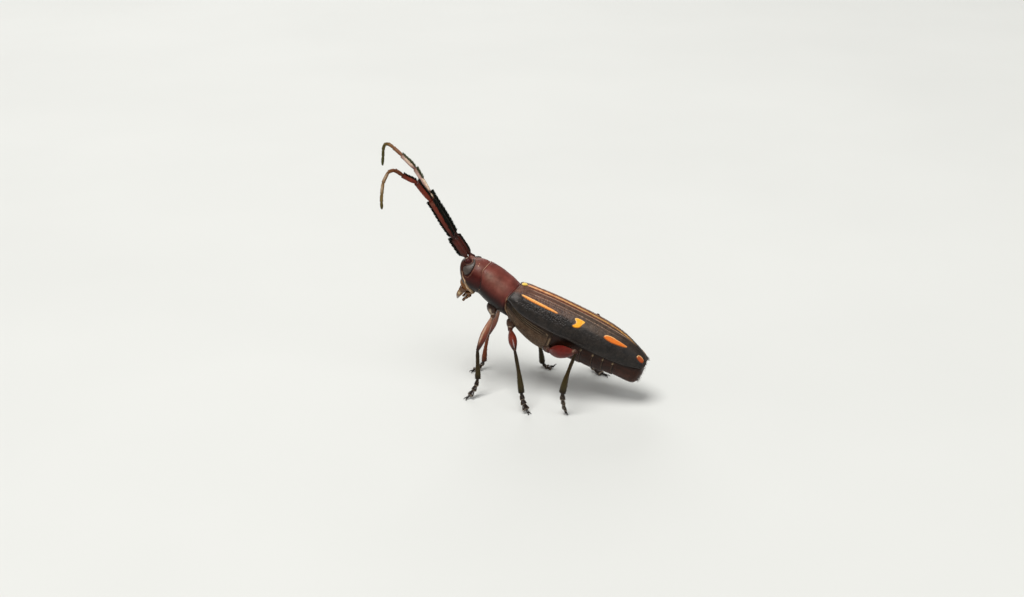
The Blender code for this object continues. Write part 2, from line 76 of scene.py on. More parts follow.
MUZZLE = ((-2.74, -0.95, 0.62, 0.52), (-2.745, -1.20, 0.66, 0.525), (-2.75, -1.42, 0.62, 0.50),
          (-2.71, -1.66, 0.50, 0.40))
ANTENNA_SOCKET = (0.27, -3.34, 0.07)
EYE_EDGE = ((3.45, 60, 3.30, 52), (3.00, 78, 2.85, 46), (2.45, 77, 2.50, 40), (2.05, 66, 2.25, 35),
            (1.80, 48, 2.10, 30), (1.75, 30, 2.12, 23), (1.92, 17, 2.25, 15), (2.10, 10, 2.32, 12))
# the antennae's joints one after another, from the head out, in the row's axes
ANTENNA_LEFT = ((0.270, -2.265, 7.529), (0.327, -3.048, 8.684), (0.453, -4.289, 10.758), (1.156, -4.864, 11.993),
                (1.605, -5.486, 12.464), (1.782, -5.862, 12.764), (1.884, -6.187, 12.661), (1.955, -6.486, 12.039),
                (2.002, -6.566, 11.405), (2.020, -6.598, 10.971), (2.031, -6.592, 10.525))
ANTENNA_RIGHT = ((-0.270, -2.265, 7.529), (-0.314, -3.116, 8.650), (-0.456, -4.730, 10.955), (-0.852, -5.715, 12.112),
                 (-1.193, -6.639, 12.703), (-1.389, -7.225, 13.047), (-1.488, -7.572, 13.212), (-1.530, -7.818, 13.138),
                 (-1.560, -7.928, 12.827), (-1.600, -7.972, 12.434), (-1.650, -8.045, 11.845))
LEGS = {
    "front_left": dict(coxa=(0.40, -0.98, -1.78, 0.34), hip=(0.60, -0.66, -2.22),
                       femur=(2.13, 59, -57, 0.27), tibia=(1.65, 109, -70), foot=(2.36, -1.62)),
    "front_right": dict(coxa=(-0.40, -0.98, -1.78, 0.34), hip=(-0.60, -0.66, -2.22),
                        femur=(2.35, -44, -62, 0.27), tibia=(1.80, -13, -76), foot=(-1.13, -2.42)),
    "middle_left": dict(coxa=(0.56, 0.44, -2.06, 0.32), hip=(0.85, 0.56, -2.33),
                        femur=(1.73, 117, -20, 0.28), tibia=(2.43, 129, -64.5), foot=(3.31, 2.23)),
    "middle_right": dict(coxa=(-0.56, 0.44, -2.06, 0.32), hip=(-0.85, 0.56, -2.33),
                         femur=(2.26, -113, -46, 0.28), tibia=(1.98, -116, -76), foot=(-2.95, 1.98)),
    "hind_left": dict(coxa=(0.62, 2.80, -2.28, 0.34), hip=(1.11, 3.08, -2.28),
                      femur=(2.45, 148, 14, 0.38), tibia=(2.38, 39, -68), foot=(2.82, 4.24)),
    "hind_right": dict(coxa=(-0.62, 2.80, -2.28, 0.34), hip=(-1.11, 3.08, -2.28),
                       femur=(2.57, -140, 20, 0.38), tibia=(2.55, -52, -72), foot=(-3.05, 4.92)),
}

# markings of the wing cases in side-view measures (t, q)
SHOULDER_STRIPE = ((0.29, -0.47), (0.38, -0.43), (0.78, -0.41), (1.41, -0.40), (2.04, -0.40), (2.34, -0.42),
                   (2.52, -0.455), (2.38, -0.51), (2.06, -0.525), (1.50, -0.55), (0.87, -0.565), (0.47, -0.53))
MIDDLE_SPOT = ((3.50, -0.25), (3.72, -0.19), (4.06, -0.21), (4.00, -0.37), (3.95, -0.55), (3.84, -0.68),
               (3.63, -0.74), (3.52, -0.69), (3.62, -0.53), (3.63, -0.41), (3.53, -0.34))
REAR_SPOT = ((5.34, -0.43), (5.42, -0.31), (5.66, -0.245), (6.10, -0.26), (6.50, -0.30), (6.74, -0.34),
             (6.62, -0.43), (6.26, -0.50), (5.86, -0.545), (5.55, -0.53), (5.38, -0.49))
TIP_SPOT = ((7.47, -0.56), (7.51, -0.465), (7.66, -0.455), (7.86, -0.53), (7.93, -0.66), (7.86, -0.76),
            (7.66, -0.73), (7.52, -0.66))

COS_P, SIN_P = math.cos(math.radians(PITCH)), math.sin(math.radians(PITCH))
MM = 0.001
rng = np.random.default_rng(20)


# ------------------------------------------------------------------ numbers
def curve(rows):
    """A smooth curve through (position, value) rows, for arrays."""
    xs, ys = np.array(rows, float).T
    n = len(xs)
    lo, hi = np.maximum(np.arange(n) - 1, 0), np.minimum(np.arange(n) + 1, n - 1)
    slopes = (ys[hi] - ys[lo]) / (xs[hi] - xs[lo])

    def read(x):
        x = np.clip(np.asarray(x, float), xs[0], xs[-1])
        i = np.clip(np.searchsorted(xs, x, side="right") - 1, 0, n - 2)
        h = xs[i + 1] - xs[i]
        t = (x - xs[i]) / h
        return ((2 * t**3 - 3 * t**2 + 1) * ys[i] + (t**3 - 2 * t**2 + t) * h * slopes[i]
                + (3 * t**2 - 2 * t**3) * ys[i + 1] + (t**3 - t**2) * h * slopes[i + 1])

    return read


def ease(x, start, end):
    t = np.clip((np.asarray(x, float) - start) / (end - start), 0, 1)
    return t * t * (3 - 2 * t)


def bell(x, centre, width):
    return np.exp(-(((np.asarray(x, float) - centre) / width) ** 2))


def oval(angle, half_width, half_height, squareness=2.0):
    s, c = np.sin(np.radians(angle)), np.cos(np.radians(angle))
    e = 2.0 / squareness
    return half_width * np.sign(s) * np.abs(s) ** e, half_height * np.sign(c) * np.abs(c) ** e


def world(p):
    """Body measures to the row's axes, both in millimetres."""
    p = np.asarray(p, float)
    x, a, k = p[..., 0], p[..., 1], p[..., 2]
    return np.stack([x, BASE_Y + a * COS_P + k * SIN_P, BASE_HEIGHT - a * SIN_P + k * COS_P], -1)


def body(p):
    """The reverse of world()."""
    p = np.asarray(p, float)
    y, z = p[..., 1] - BASE_Y, p[..., 2] - BASE_HEIGHT
    return np.stack([p[..., 0], y * COS_P - z * SIN_P, y * SIN_P + z * COS_P], -1)


def side_view(p):
    """(t, q) of body points: along the body and up its back, seen from the left and a little above."""
    x, a, k = p[..., 0], p[..., 1], p[..., 2]
    return 0.992 * a - 0.0566 * k - 0.1096 * x, 0.8886 * k - 0.4587 * x


def grain(p, size, seed=0, octaves=1):
    """Smooth noise from -1 to 1 over points, with lumps of about that size."""
    p = np.asarray(p, float) / size
    total, weight, out = 0.0, 1.0, 0.0
    for o in range(octaves):
        i = np.floor(p).astype(np.int64)
        f = p - i
        f = f * f * (3 - 2 * f)
        value = 0.0
        for dx in (0, 1):
            for dy in (0, 1):
                for dz in (0, 1):
                    n = ((i[..., 0] + dx) * 374761393 + (i[..., 1] + dy) * 668265263
                         + (i[..., 2] + dz) * 1440662683 + (seed + o) * 1274126177) & 0x7FFFFFFF
                    n = ((n ^ (n >> 13)) * 1103515245) & 0x7FFFFFFF
                    h = ((n ^ (n >> 16)) & 0xFFFF) / 32767.5 - 1
                    value = value + (h * np.where(dx, f[..., 0], 1 - f[..., 0])
                                     * np.where(dy, f[..., 1], 1 - f[..., 1])
                                     * np.where(dz, f[..., 2], 1 - f[..., 2]))
        out = out + value * weight
        total += weight
        weight *= 0.5
        p = p * 2.03 + 11.7
    return out / total


def normals(p, wrap=True):
    du = np.gradient(p, axis=0)
    dv = (np.roll(p, -1, 1) - np.roll(p, 1, 1)) if wrap else np.gradient(p, axis=1)
    n = np.cross(du, dv)
    return n / np.maximum(np.linalg.norm(n, axis=-1, keepdims=True), 1e-12)


def rounded(corners, steps=6):
    """A closed outline through the corners with its bends eased."""
    c = np.array(corners, float)
    n, out = len(c), []
    for i in range(n):
        p0, p1, p2, p3 = c[i - 1], c[i], c[(i + 1) % n], c[(i + 2) % n]
        for w in np.arange(steps) / steps:
            out.append(p1 + 0.5 * w * (p2 - p0 + w * (2 * p0 - 5 * p1 + 4 * p2 - p3 + w * (3 * (p1 - p2) + p3 - p0))))
    return np.array(out)


def outline_distance(t, q, corners):
    """Distance from points to a closed outline, negative inside."""
    c = rounded(corners)
    d = np.roll(c, -1, 0)
    best = np.full(t.shape, 1e9)
    inside = np.zeros(t.shape, bool)
    for (x0, y0), (x1, y1) in zip(c, d):
        ex, ey = x1 - x0, y1 - y0
        w = np.clip(((t - x0) * ex + (q - y0) * ey) / (ex * ex + ey * ey), 0, 1)
        best = np.minimum(best, np.hypot(t - x0 - w * ex, q - y0 - w * ey))
        cross = ((y0 > q) != (y1 > q)) & (t < (x1 - x0) * (q - y0) / (y1 - y0 + 1e-12) + x0)
        inside ^= cross
    return np.where(inside, -best, best)


# ------------------------------------------------------------------ meshes
def mesh_object(name, verts_mm, faces, look, nodes, marks=None, sharp=50, uv=None, outward=True):
    """A named piece on the root body from millimetre points. marks are numbers per point for its material."""
    me = bpy.data.meshes.new(name)
    me.from_pydata((np.asarray(verts_mm) * MM).tolist(), [], [list(map(int, f)) for f in faces])
    me.validate()
    for key, values in (marks or {}).items():
        layer = me.attributes.new(key, "FLOAT", "POINT")
        layer.data.foreach_set("value", np.asarray(values, np.float32).ravel())
    if outward:
        bm = bmesh.new()
        bm.from_mesh(me)
        bmesh.ops.recalc_face_normals(bm, faces=bm.faces)
        bm.to_mesh(me)
        bm.free()
    me.shade_smooth()
    if sharp:
        me.set_sharp_from_angle(angle=math.radians(sharp))
    if uv is not None:
        layer = me.uv_layers.new(name="OFBake")
        corner = np.empty(len(me.loops), np.int32)
        me.loops.foreach_get("vertex_index", corner)
        layer.data.foreach_set("uv", np.asarray(uv, np.float32)[corner].ravel())
    me.materials.append(look)
    o = bpy.data.objects.new(name, me)
    bpy.context.scene.collection.objects.link(o)
    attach(o, "root")
    if nodes:
        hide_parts(*nodes)
    return o


def ring_faces(n, m, wrap=True, ends="fan", first=0):
    """Faces of n rings of m points; ends 'fan' expects one more point for each end after them."""
    i, j = np.meshgrid(np.arange(n - 1), np.arange(m if wrap else m - 1), indexing="ij")
    a = i * m + j
    b = i * m + (j + 1) % m
    faces = np.stack([a, b, b + m, a + m], -1).reshape(-1, 4) + first
    faces = faces.tolist()
    if ends == "fan":
        c0, c1 = first + n * m, first + n * m + 1
        for j in range(m):
            k = (j + 1) % m
            faces.append([first + k, first + j, c0])
            faces.append([first + (n - 1) * m + j, first + (n - 1) * m + k, c1])
    elif ends == "flat":
        faces.append([first + j for j in range(m)][::-1])
        faces.append([first + (n - 1) * m + j for j in range(m)])
    return faces


def closed_rings(p):
    """Points of closed rings plus a centre for each end."""
    return np.concatenate([p.reshape(-1, 3), p[0].mean(0)[None], p[-1].mean(0)[None]])


def with_ends(values):
    """Marks for closed_rings: the ends take their ring's mean."""
    values = np.asarray(values, float)
    return np.concatenate([values.ravel(), [values[0].mean()], [values[-1].mean()]])


def dense_path(points, n, u=None):
    """n points on a smooth line through the given ones, and the share of the length at each."""
    pts = np.asarray(points, float)
    ext = np.concatenate([[2 * pts[0] - pts[1]], pts, [2 * pts[-1] - pts[-2]]])
    fine = []
    for i in range(len(pts) - 1):
        p0, p1, p2, p3 = ext[i:i + 4]
        for t in np.linspace(0, 1, 40, endpoint=i == len(pts) - 2):
            fine.append(0.5 * (2 * p1 + (p2 - p0) * t + (2 * p0 - 5 * p1 + 4 * p2 - p3) * t * t
                               + (3 * p1 - p0 - 3 * p2 + p3) * t**3))
    fine = np.array(fine)
    length = np.concatenate([[0], np.cumsum(np.linalg.norm(np.diff(fine, axis=0), axis=1))])
    if u is None:
        u = np.linspace(0, 1, n)
    at = u * length[-1]
    return np.stack([np.interp(at, length, fine[:, c]) for c in range(3)], -1), length[-1]


def tube(points, n, m, halves, hint=(0, 0, 1), relief=None, u=None):
    """A round piece along a line. halves(u) gives the half thickness sideways and up, relief(u, angle, length)
    what is added to it. Returns its points, outward directions, share of length and angle."""
    if u is None:
        u = 0.55 * np.linspace(0, 1, n) + 0.45 * (0.5 - 0.5 * np.cos(np.pi * np.linspace(0, 1, n)))
    c, length = dense_path(points, n, u)
    way = np.gradient(c, axis=0)
    way /= np.linalg.norm(way, axis=1, keepdims=True)
    side = np.cross(hint, way[0])
    if np.linalg.norm(side) < 0.1:
        side = np.cross((1, 0, 0), way[0])
    sides = []
    for w in way:
        side = side - w * side.dot(w)
        side = side / np.linalg.norm(side)
        sides.append(side)
    sides = np.array(sides)
    ups = np.cross(way, sides)
    phi = 2 * np.pi * np.arange(m) / m
    hs, hu = halves(u)
    hs, hu = np.broadcast_to(hs, u.shape), np.broadcast_to(hu, u.shape)
    out = sides[:, None] * np.cos(phi)[None, :, None] + ups[:, None] * np.sin(phi)[None, :, None]
    p = c[:, None] + sides[:, None] * (hs[:, None] * np.cos(phi))[..., None] + ups[:, None] * (hu[:, None] * np.sin(phi))[..., None]
    uu, pp = np.meshgrid(u, phi, indexing="ij")
    if relief is not None:
        p = p + out * relief(uu, pp, length)[..., None]
    return dict(p=p, out=out, u=uu, phi=pp, way=way, side=sides, up=ups, c=c, length=length)


def round_ends(u, first=0.08, last=0.08):
    """1 along the piece, falling to nearly 0 at both ends like half a circle."""
    a = np.sqrt(np.clip(1 - np.clip((first - u) / first, 0, 1) ** 2, 0.0004, 1))
    b = np.sqrt(np.clip(1 - np.clip((u - 1 + last) / last, 0, 1) ** 2, 0.0004, 1))
    return a * b


def join_parts(parts):
    """Several (points, faces, marks) as one."""
    verts, faces, marks, n = [], [], {}, 0
    for p, f, k in parts:
        verts.append(p)
        faces += [[i + n for i in face] for face in f]
        for key, v in k.items():
            marks.setdefault(key, []).append(np.asarray(v, float).ravel())
        n += len(p)
    return np.concatenate(verts), faces, {k: np.concatenate(v) for k, v in marks.items()}


def tube_part(t, **marks):
    k = {"along": with_ends(t["u"]), "around": with_ends(np.sin(t["phi"]))}
    k.update({key: with_ends(v) for key, v in marks.items()})
    return closed_rings(t["p"]), ring_faces(*t["p"].shape[:2]), k


def hairs(name, roots, ways, lengths, half, look, uv, droop=None, marks=None):
    """Many tapering three-sided hairs as one piece; uv is each root's place on its carrier's unwrap."""
    roots, ways = np.asarray(roots, float), np.asarray(ways, float)
    n = len(roots)
    ways = ways / np.linalg.norm(ways, axis=1, keepdims=True)
    lengths = np.broadcast_to(lengths, n)
    half = np.broadcast_to(half, n)
    droop = np.zeros((n, 3)) if droop is None else np.asarray(droop, float) * np.ones((n, 1))
    ref = np.where(np.abs(ways[:, 2:3]) < 0.8, [[0.0, 0, 1]], [[1.0, 0, 0]])
    s = np.cross(ref, ways)
    s /= np.linalg.norm(s, axis=1, keepdims=True)
    r = np.cross(ways, s)
    verts = np.empty((n, 10, 3))
    for level, (share, thick) in enumerate(((-0.04, 1.0), (0.4, 0.85), (0.75, 0.5))):
        centre = roots + ways * (lengths * share)[:, None] + droop * (lengths * max(share, 0) ** 2)[:, None]
        for j in range(3):
            ang = 2 * math.pi * j / 3
            verts[:, level * 3 + j] = centre + (s * math.cos(ang) + r * math.sin(ang)) * (half * thick)[:, None]
    verts[:, 9] = roots + ways * lengths[:, None] + droop * lengths[:, None]
    local = []
    for level in range(2):
        for j in range(3):
            k = (j + 1) % 3
            local.append([level * 3 + j, level * 3 + k, level * 3 + 3 + k, level * 3 + 3 + j])
    quads = (np.arange(n)[:, None, None] * 10 + np.array(local)).reshape(-1, 4)
    tris = (np.arange(n)[:, None, None] * 10 + np.array([[6, 7, 9], [7, 8, 9], [8, 6, 9], [2, 1, 0]])).reshape(-1, 3)
    patch = np.array([[0, 0], [1, 0], [.5, .3], [0, .4], [1, .4], [.5, .6], [.2, .8], [.8, .8], [.5, .9], [.5, 1]]) * 0.003
    places = (np.clip(np.asarray(uv, float), 0.002, 0.995)[:, None] + patch[None]).reshape(-1, 2)
    extra = {"share": np.tile([0, 0, 0, .4, .4, .4, .75, .75, .75, 1], n)}
    for key, v in (marks or {}).items():
        extra[key] = np.repeat(v, 10)
    return mesh_object(name, verts.reshape(-1, 3), quads.tolist() + tris.tolist(), look, (), extra,
                       sharp=0, uv=places, outward=False)


# ------------------------------------------------------------------ materials
def linear(rgb):
    c = [v / 255 for v in rgb]
    return (*[v / 12.92 if v <= 0.04045 else ((v + 0.055) / 1.055) ** 2.4 for v in c], 1.0)


class Look:
    """A node material, built with a few short calls."""

    def __init__(self, name, roughness=0.4, coat=0.0, coat_roughness=0.2, ior=1.36, sheen=0.0, subsurface=0.0, gloss=0.5):
        self.m = bpy.data.materials.new(name)
        self.m.use_nodes = True
        self.t = self.m.node_tree
        self.p = self.t.nodes["Principled BSDF"]
        self.p.inputs["Roughness"].default_value = roughness
        self.p.inputs["Coat Weight"].default_value = coat
        self.p.inputs["Coat Roughness"].default_value = coat_roughness
        self.p.inputs["IOR"].default_value = ior
        self.p.inputs["Specular IOR Level"].default_value = gloss
        self.p.inputs["Sheen Weight"].default_value = sheen
        self.p.inputs["Subsurface Weight"].default_value = subsurface
        self.p.inputs["Subsurface Scale"].default_value = 0.0002
        self.place = self.t.nodes.new("ShaderNodeTexCoord").outputs["Object"]

    def put(self, socket, value):
        if isinstance(value, bpy.types.NodeSocket):
            self.t.links.new(value, socket)
        elif isinstance(value, tuple) and len(value) == 3:
            socket.default_value = linear(value)
        else:
            socket.default_value = value

    def mark(self, name):
        n = self.t.nodes.new("ShaderNodeAttribute")
        n.attribute_name = name
        return n.outputs["Fac"]

    def noise(self, size_mm, detail=3.0, rough=0.55, stretch=None):
        n = self.t.nodes.new("ShaderNodeTexNoise")
        n.inputs["Scale"].default_value = 1000.0 / size_mm
        n.inputs["Detail"].default_value = detail
        n.inputs["Roughness"].default_value = rough
        place = self.place
        if stretch:
            s = self.t.nodes.new("ShaderNodeMapping")
            s.inputs["Scale"].default_value = stretch
            self.t.links.new(place, s.inputs["Vector"])
            place = s.outputs["Vector"]
        self.t.links.new(place, n.inputs["Vector"])
        return n.outputs["Fac"]

    def cells(self, size_mm, feature="F1"):
        n = self.t.nodes.new("ShaderNodeTexVoronoi")
        n.feature = feature
        n.inputs["Scale"].default_value = 1000.0 / size_mm
        self.t.links.new(self.place, n.inputs["Vector"])
        return n.outputs["Distance"]

    def ramp(self, fac, stops):
        n = self.t.nodes.new("ShaderNodeValToRGB")
        e = n.color_ramp.elements
        while len(e) > 1:
            e.remove(e[0])
        for i, (at, colour) in enumerate(stops):
            el = e[0] if i == 0 else e.new(at)
            el.position = at
            el.color = linear(colour) if len(colour) == 3 else colour
        self.put(n.inputs["Fac"], fac)
        return n.outputs["Color"]

    def mix(self, fac, one, two, how="MIX"):
        n = self.t.nodes.new("ShaderNodeMix")
        n.data_type = "RGBA"
        n.blend_type = how
        n.clamp_factor = True
        self.put(n.inputs["Factor"], fac)
        self.put(n.inputs["A"], one) if False else self.put(n.inputs[6], one)
        self.put(n.inputs[7], two)
        return n.outputs[2]

    def math(self, how, one, two=0.0):
        n = self.t.nodes.new("ShaderNodeMath")
        n.operation = how
        self.put(n.inputs[0], one)
        self.put(n.inputs[1], two)
        return n.outputs[0]

    def span(self, value, low, high, to_low=0.0, to_high=1.0):
        n = self.t.nodes.new("ShaderNodeMapRange")
        n.inputs["From Min"].default_value = low
        n.inputs["From Max"].default_value = high
        n.inputs["To Min"].default_value = to_low
        n.inputs["To Max"].default_value = to_high
        self.put(n.inputs["Value"], value)
        return n.outputs["Result"]

    def bump(self, height, depth_mm, strength=1.0):
        n = self.t.nodes.new("ShaderNodeBump")
        n.inputs["Strength"].default_value = strength
        n.inputs["Distance"].default_value = depth_mm * MM
        self.put(n.inputs["Height"], height)
        self.t.links.new(n.outputs["Normal"], self.p.inputs["Normal"])

    def colour(self, value):
        self.put(self.p.inputs["Base Color"], value)
        return self

    def rough(self, value):
        self.put(self.p.inputs["Roughness"], value)
        return self


def look_elytra():
    w = Look("elytra_chitin", roughness=0.44, coat=0.05, coat_roughness=0.30)
    far = w.mark("tail")
    side_dark = w.ramp(w.noise(0.30, 4), [(0.35, (18, 15, 13)), (0.68, (38, 32, 28))])
    back_front = w.ramp(w.noise(0.22, 4), [(0.3, (74, 44, 33)), (0.7, (112, 76, 60))])
    back_rear = w.ramp(w.noise(0.22, 4), [(0.3, (54, 42, 34)), (0.7, (86, 70, 58))])
    back = w.mix(far, back_front, back_rear)
    c = w.mix(w.mark("back"), side_dark, back)
    # specks_and_glints: pale specks over the fine grain, partly grey specks of the shell and partly painted glints
    specks_and_glints = w.math("MULTIPLY", w.span(w.cells(0.055), 0.34, 0.18), w.span(w.noise(0.16, 3), 0.36, 0.62))
    c = w.mix(w.math("MULTIPLY", specks_and_glints, 0.26), c, (104, 92, 84))
    # pit_shade: painted shade darkening the insides of the pits
    c = w.mix(w.math("MULTIPLY", w.mark("pit_shade"), 0.70), c, (14, 9, 8))
    # rim: painted glints and highlights on the bumps, the base lip and the shoulder, and a fine pale line along the
    # margin
    c = w.mix(w.math("MULTIPLY", w.mark("rim"), 0.55), c, (150, 138, 134))
    c = w.mix(w.mark("groove"), c, w.ramp(w.noise(0.10, 3), [(0.3, (70, 32, 18)), (0.7, (128, 68, 40))]))
    c = w.mix(w.mark("line"), c, w.ramp(w.noise(0.15, 3), [(0.3, (152, 114, 90)), (0.7, (198, 162, 136))]))
    ridge = w.ramp(w.noise(0.22, 3), [(0.3, (214, 136, 80)), (0.7, (250, 190, 130))])
    ridge = w.mix(far, ridge, w.ramp(w.noise(0.22, 3), [(0.3, (166, 112, 56)), (0.7, (206, 156, 88))]))
    c = w.mix(w.mark("ridge"), c, ridge)
    tone = w.ramp(w.mark("tone"), [(0.0, (246, 158, 66)), (0.16, (236, 150, 84)), (0.30, (250, 172, 26)),
                                   (0.62, (220, 112, 20)), (1.0, (158, 66, 16))])
    tone = w.mix(w.span(w.noise(0.16, 4), 0.45, 0.75), tone, w.mix(0.35, tone, (190, 84, 12)))
    # spot_highlight and spot_shade: a painted highlight on each spot's upper side and painted shade on its lower side
    tone = w.mix(w.mark("spot_highlight"), tone, w.mix(0.60, tone, (255, 226, 160)))
    tone = w.mix(w.mark("spot_shade"), tone, w.mix(0.70, tone, (110, 40, 6)))
    c = w.mix(w.mark("spot"), c, tone)
    w.colour(c)
    w.rough(w.span(w.noise(0.12, 3), 0.3, 0.7, 0.34, 0.55))
    h = w.math("ADD", w.math("MULTIPLY", w.noise(0.045, 4), 0.6), w.math("MULTIPLY", w.span(w.cells(0.055), 0.5, 0.1), 0.7))
    w.bump(h, 0.010, 0.65)
    return w.m


def look_pronotum(name, low=(14, 6, 4), front=None, lift=(0.42, 0.72), sink=(0.56, 0.28)):
    w = Look(name, roughness=0.38, coat=0.10, coat_roughness=0.28, gloss=0.24)
    top = w.ramp(w.noise(0.6, 5), [(0.30, (92, 43, 36)), (0.55, (113, 56, 48)), (0.75, (130, 72, 63))])
    mid = w.ramp(w.noise(0.5, 4), [(0.3, (50, 8, 4)), (0.7, (74, 14, 8))])
    # by height: lighter on top and darker towards the bottom, partly the shell's own colour and partly a painted
    # highlight on top and painted shade below
    c = w.mix(w.span(w.mark("height"), *lift), mid, top)
    c = w.mix(w.span(w.mark("height"), *sink), c, low)
    # painted_sheen: a painted greyish sheen on the upper flanks and the upper head
    c = w.mix(w.mark("painted_sheen"), c, w.ramp(w.noise(0.3, 4), [(0.3, (96, 74, 62)), (0.7, (132, 104, 90))]))
    if front:
        c = w.mix(w.mark("face"), c, w.ramp(w.noise(0.2, 4), [(0.3, (44, 20, 12)), (0.7, front)]))
        c = w.mix(w.mark("gold"), c, w.ramp(w.noise(0.12, 4), [(0.3, (104, 58, 18)), (0.7, (150, 96, 40))]))
        c = w.mix(w.mark("socket"), c, (62, 15, 13))
    # seam: painted shade in the seams, furrows and grooves
    c = w.mix(w.mark("seam"), c, (10, 5, 5))
    c = w.mix(w.mark("rim"), c, w.ramp(w.noise(0.1, 2), [(0.3, (206, 158, 118)), (0.7, (246, 216, 176))]))
    w.colour(c)
    w.rough(w.span(w.noise(0.2, 4), 0.3, 0.7, 0.32, 0.48))
    h = w.math("ADD", w.noise(0.05, 4), w.math("MULTIPLY", w.cells(0.07), -0.35))
    w.bump(h, 0.006, 0.6)
    return w.m


def look_under(name, one, two, dark, rough=0.5, coat=0.05, sheen=0.0):
    """Underside plates: brown chitin, with painted shade, seams and grooves darkened as painted shade, pale rims and
    membranes marked on the mesh.
    """
    w = Look(name, roughness=rough, coat=coat, sheen=sheen, gloss=0.24)
    c = w.ramp(w.noise(0.30, 5), [(0.3, one), (0.7, two)])
    c = w.mix(w.span(w.noise(0.9, 3), 0.45, 0.75), c, w.mix(0.45, c, dark))
    c = w.mix(w.mark("shade"), c, dark)
    # seam: painted shade in the seams and grooves
    c = w.mix(w.mark("seam"), c, tuple(int(v * 0.35) for v in dark))
    c = w.mix(w.mark("rim"), c, w.ramp(w.noise(0.1, 2), [(0.3, (150, 122, 92)), (0.7, (206, 184, 150))]))
    w.colour(c)
    w.rough(w.span(w.noise(0.15, 3), 0.3, 0.7, rough - 0.08, rough + 0.1))
    w.bump(w.math("ADD", w.noise(0.035, 4), w.math("MULTIPLY", w.cells(0.06), 0.4)), 0.007, 0.6)
    return w.m


def look_limb(name, stops, rough=0.3, coat=0.3, grainy=0.05):
    """A leg or antenna piece: colours along it, darker in the joints, with pale marks that are partly painted
    highlights.
    """
    w = Look(name, roughness=rough, coat=coat, coat_roughness=0.18, gloss=0.28)
    at = w.math("ADD", w.mark("along"), w.math("MULTIPLY", w.math("SUBTRACT", w.noise(0.25, 3), 0.5), 0.10))
    c = w.ramp(at, stops)
    c = w.mix(w.span(w.noise(0.16, 4), 0.42, 0.72), c, w.mix(0.30, c, (24, 12, 6)))
    c = w.mix(w.mark("pale"), c, w.ramp(w.noise(0.08, 2), [(0.3, (190, 160, 130)), (0.7, (236, 216, 190))]))
    c = w.mix(w.mark("dark"), c, (18, 10, 6))
    w.colour(c)
    w.rough(w.span(w.noise(0.10, 3), 0.3, 0.7, rough - 0.06, rough + 0.10))
    w.bump(w.math("ADD", w.noise(grainy, 4), w.math("MULTIPLY", w.cells(grainy * 1.4), 0.4)), 0.006, 0.6)
    return w.m


def look_hair(name, root, tip, rough=0.5):
    w = Look(name, roughness=rough)
    c = w.ramp(w.mark("share"), [(0.0, root), (1.0, tip)])
    c = w.mix(w.span(w.noise(0.3, 2), 0.4, 0.7), c, w.mix(0.35, c, tip))
    w.colour(c)
    return w.m


def look_eye():
    w = Look("eye_facets", roughness=0.42, coat=0.20, coat_roughness=0.3)
    c = w.ramp(w.noise(0.30, 3), [(0.3, (58, 50, 46)), (0.7, (92, 82, 76))])
    c = w.mix(w.span(w.cells(0.026), 0.25, 0.62), c, w.mix(0.40, c, (30, 20, 18)))
    c = w.mix(w.mark("rim"), c, (20, 10, 9))
    w.colour(c)
    w.bump(w.math("MULTIPLY", w.cells(0.026), -1.0), 0.006, 0.8)
    return w.m


def look_mouth():
    w = Look("mouth_chitin", roughness=0.22, coat=0.5, coat_roughness=0.12, subsurface=0.05)
    c = w.ramp(w.mark("along"), [(0.0, (74, 36, 10)), (0.45, (136, 88, 26)), (0.75, (104, 62, 16)), (1.0, (30, 16, 6))])
    c = w.mix(w.span(w.noise(0.12, 4), 0.4, 0.66), c, w.mix(0.65, c, (46, 20, 6)))
    # pale: painted highlights on the upper lip and the jaws, and pale ends on the feelers' beads
    c = w.mix(w.mark("pale"), c, (238, 214, 168))
    w.colour(c)
    w.bump(w.noise(0.05, 3), 0.004, 0.5)
    return w.m


def look_scutellum():
    w = Look("scutellum_down", roughness=0.6, sheen=0.2)
    c = w.ramp(w.noise(0.06, 4), [(0.3, (222, 178, 60)), (0.7, (250, 226, 120))])
    c = w.mix(w.span(w.mark("height"), 0.62, 0.25), c, (126, 82, 28))
    w.colour(c)
    w.bump(w.noise(0.02, 3), 0.006, 0.8)
    return w.m


# ------------------------------------------------------------------ wing cases
elytra_top, elytra_half, elytra_margin = curve(ELYTRA_TOP), curve(ELYTRA_HALF_WIDTH), curve(ELYTRA_MARGIN)
base_edge, front_edge = curve(BASE_EDGE), curve(FRONT_EDGE)
apex_reach = curve(((0, 8.06), (16, 8.17), (42, 8.23), (70, 8.19), (90, 8.06)))


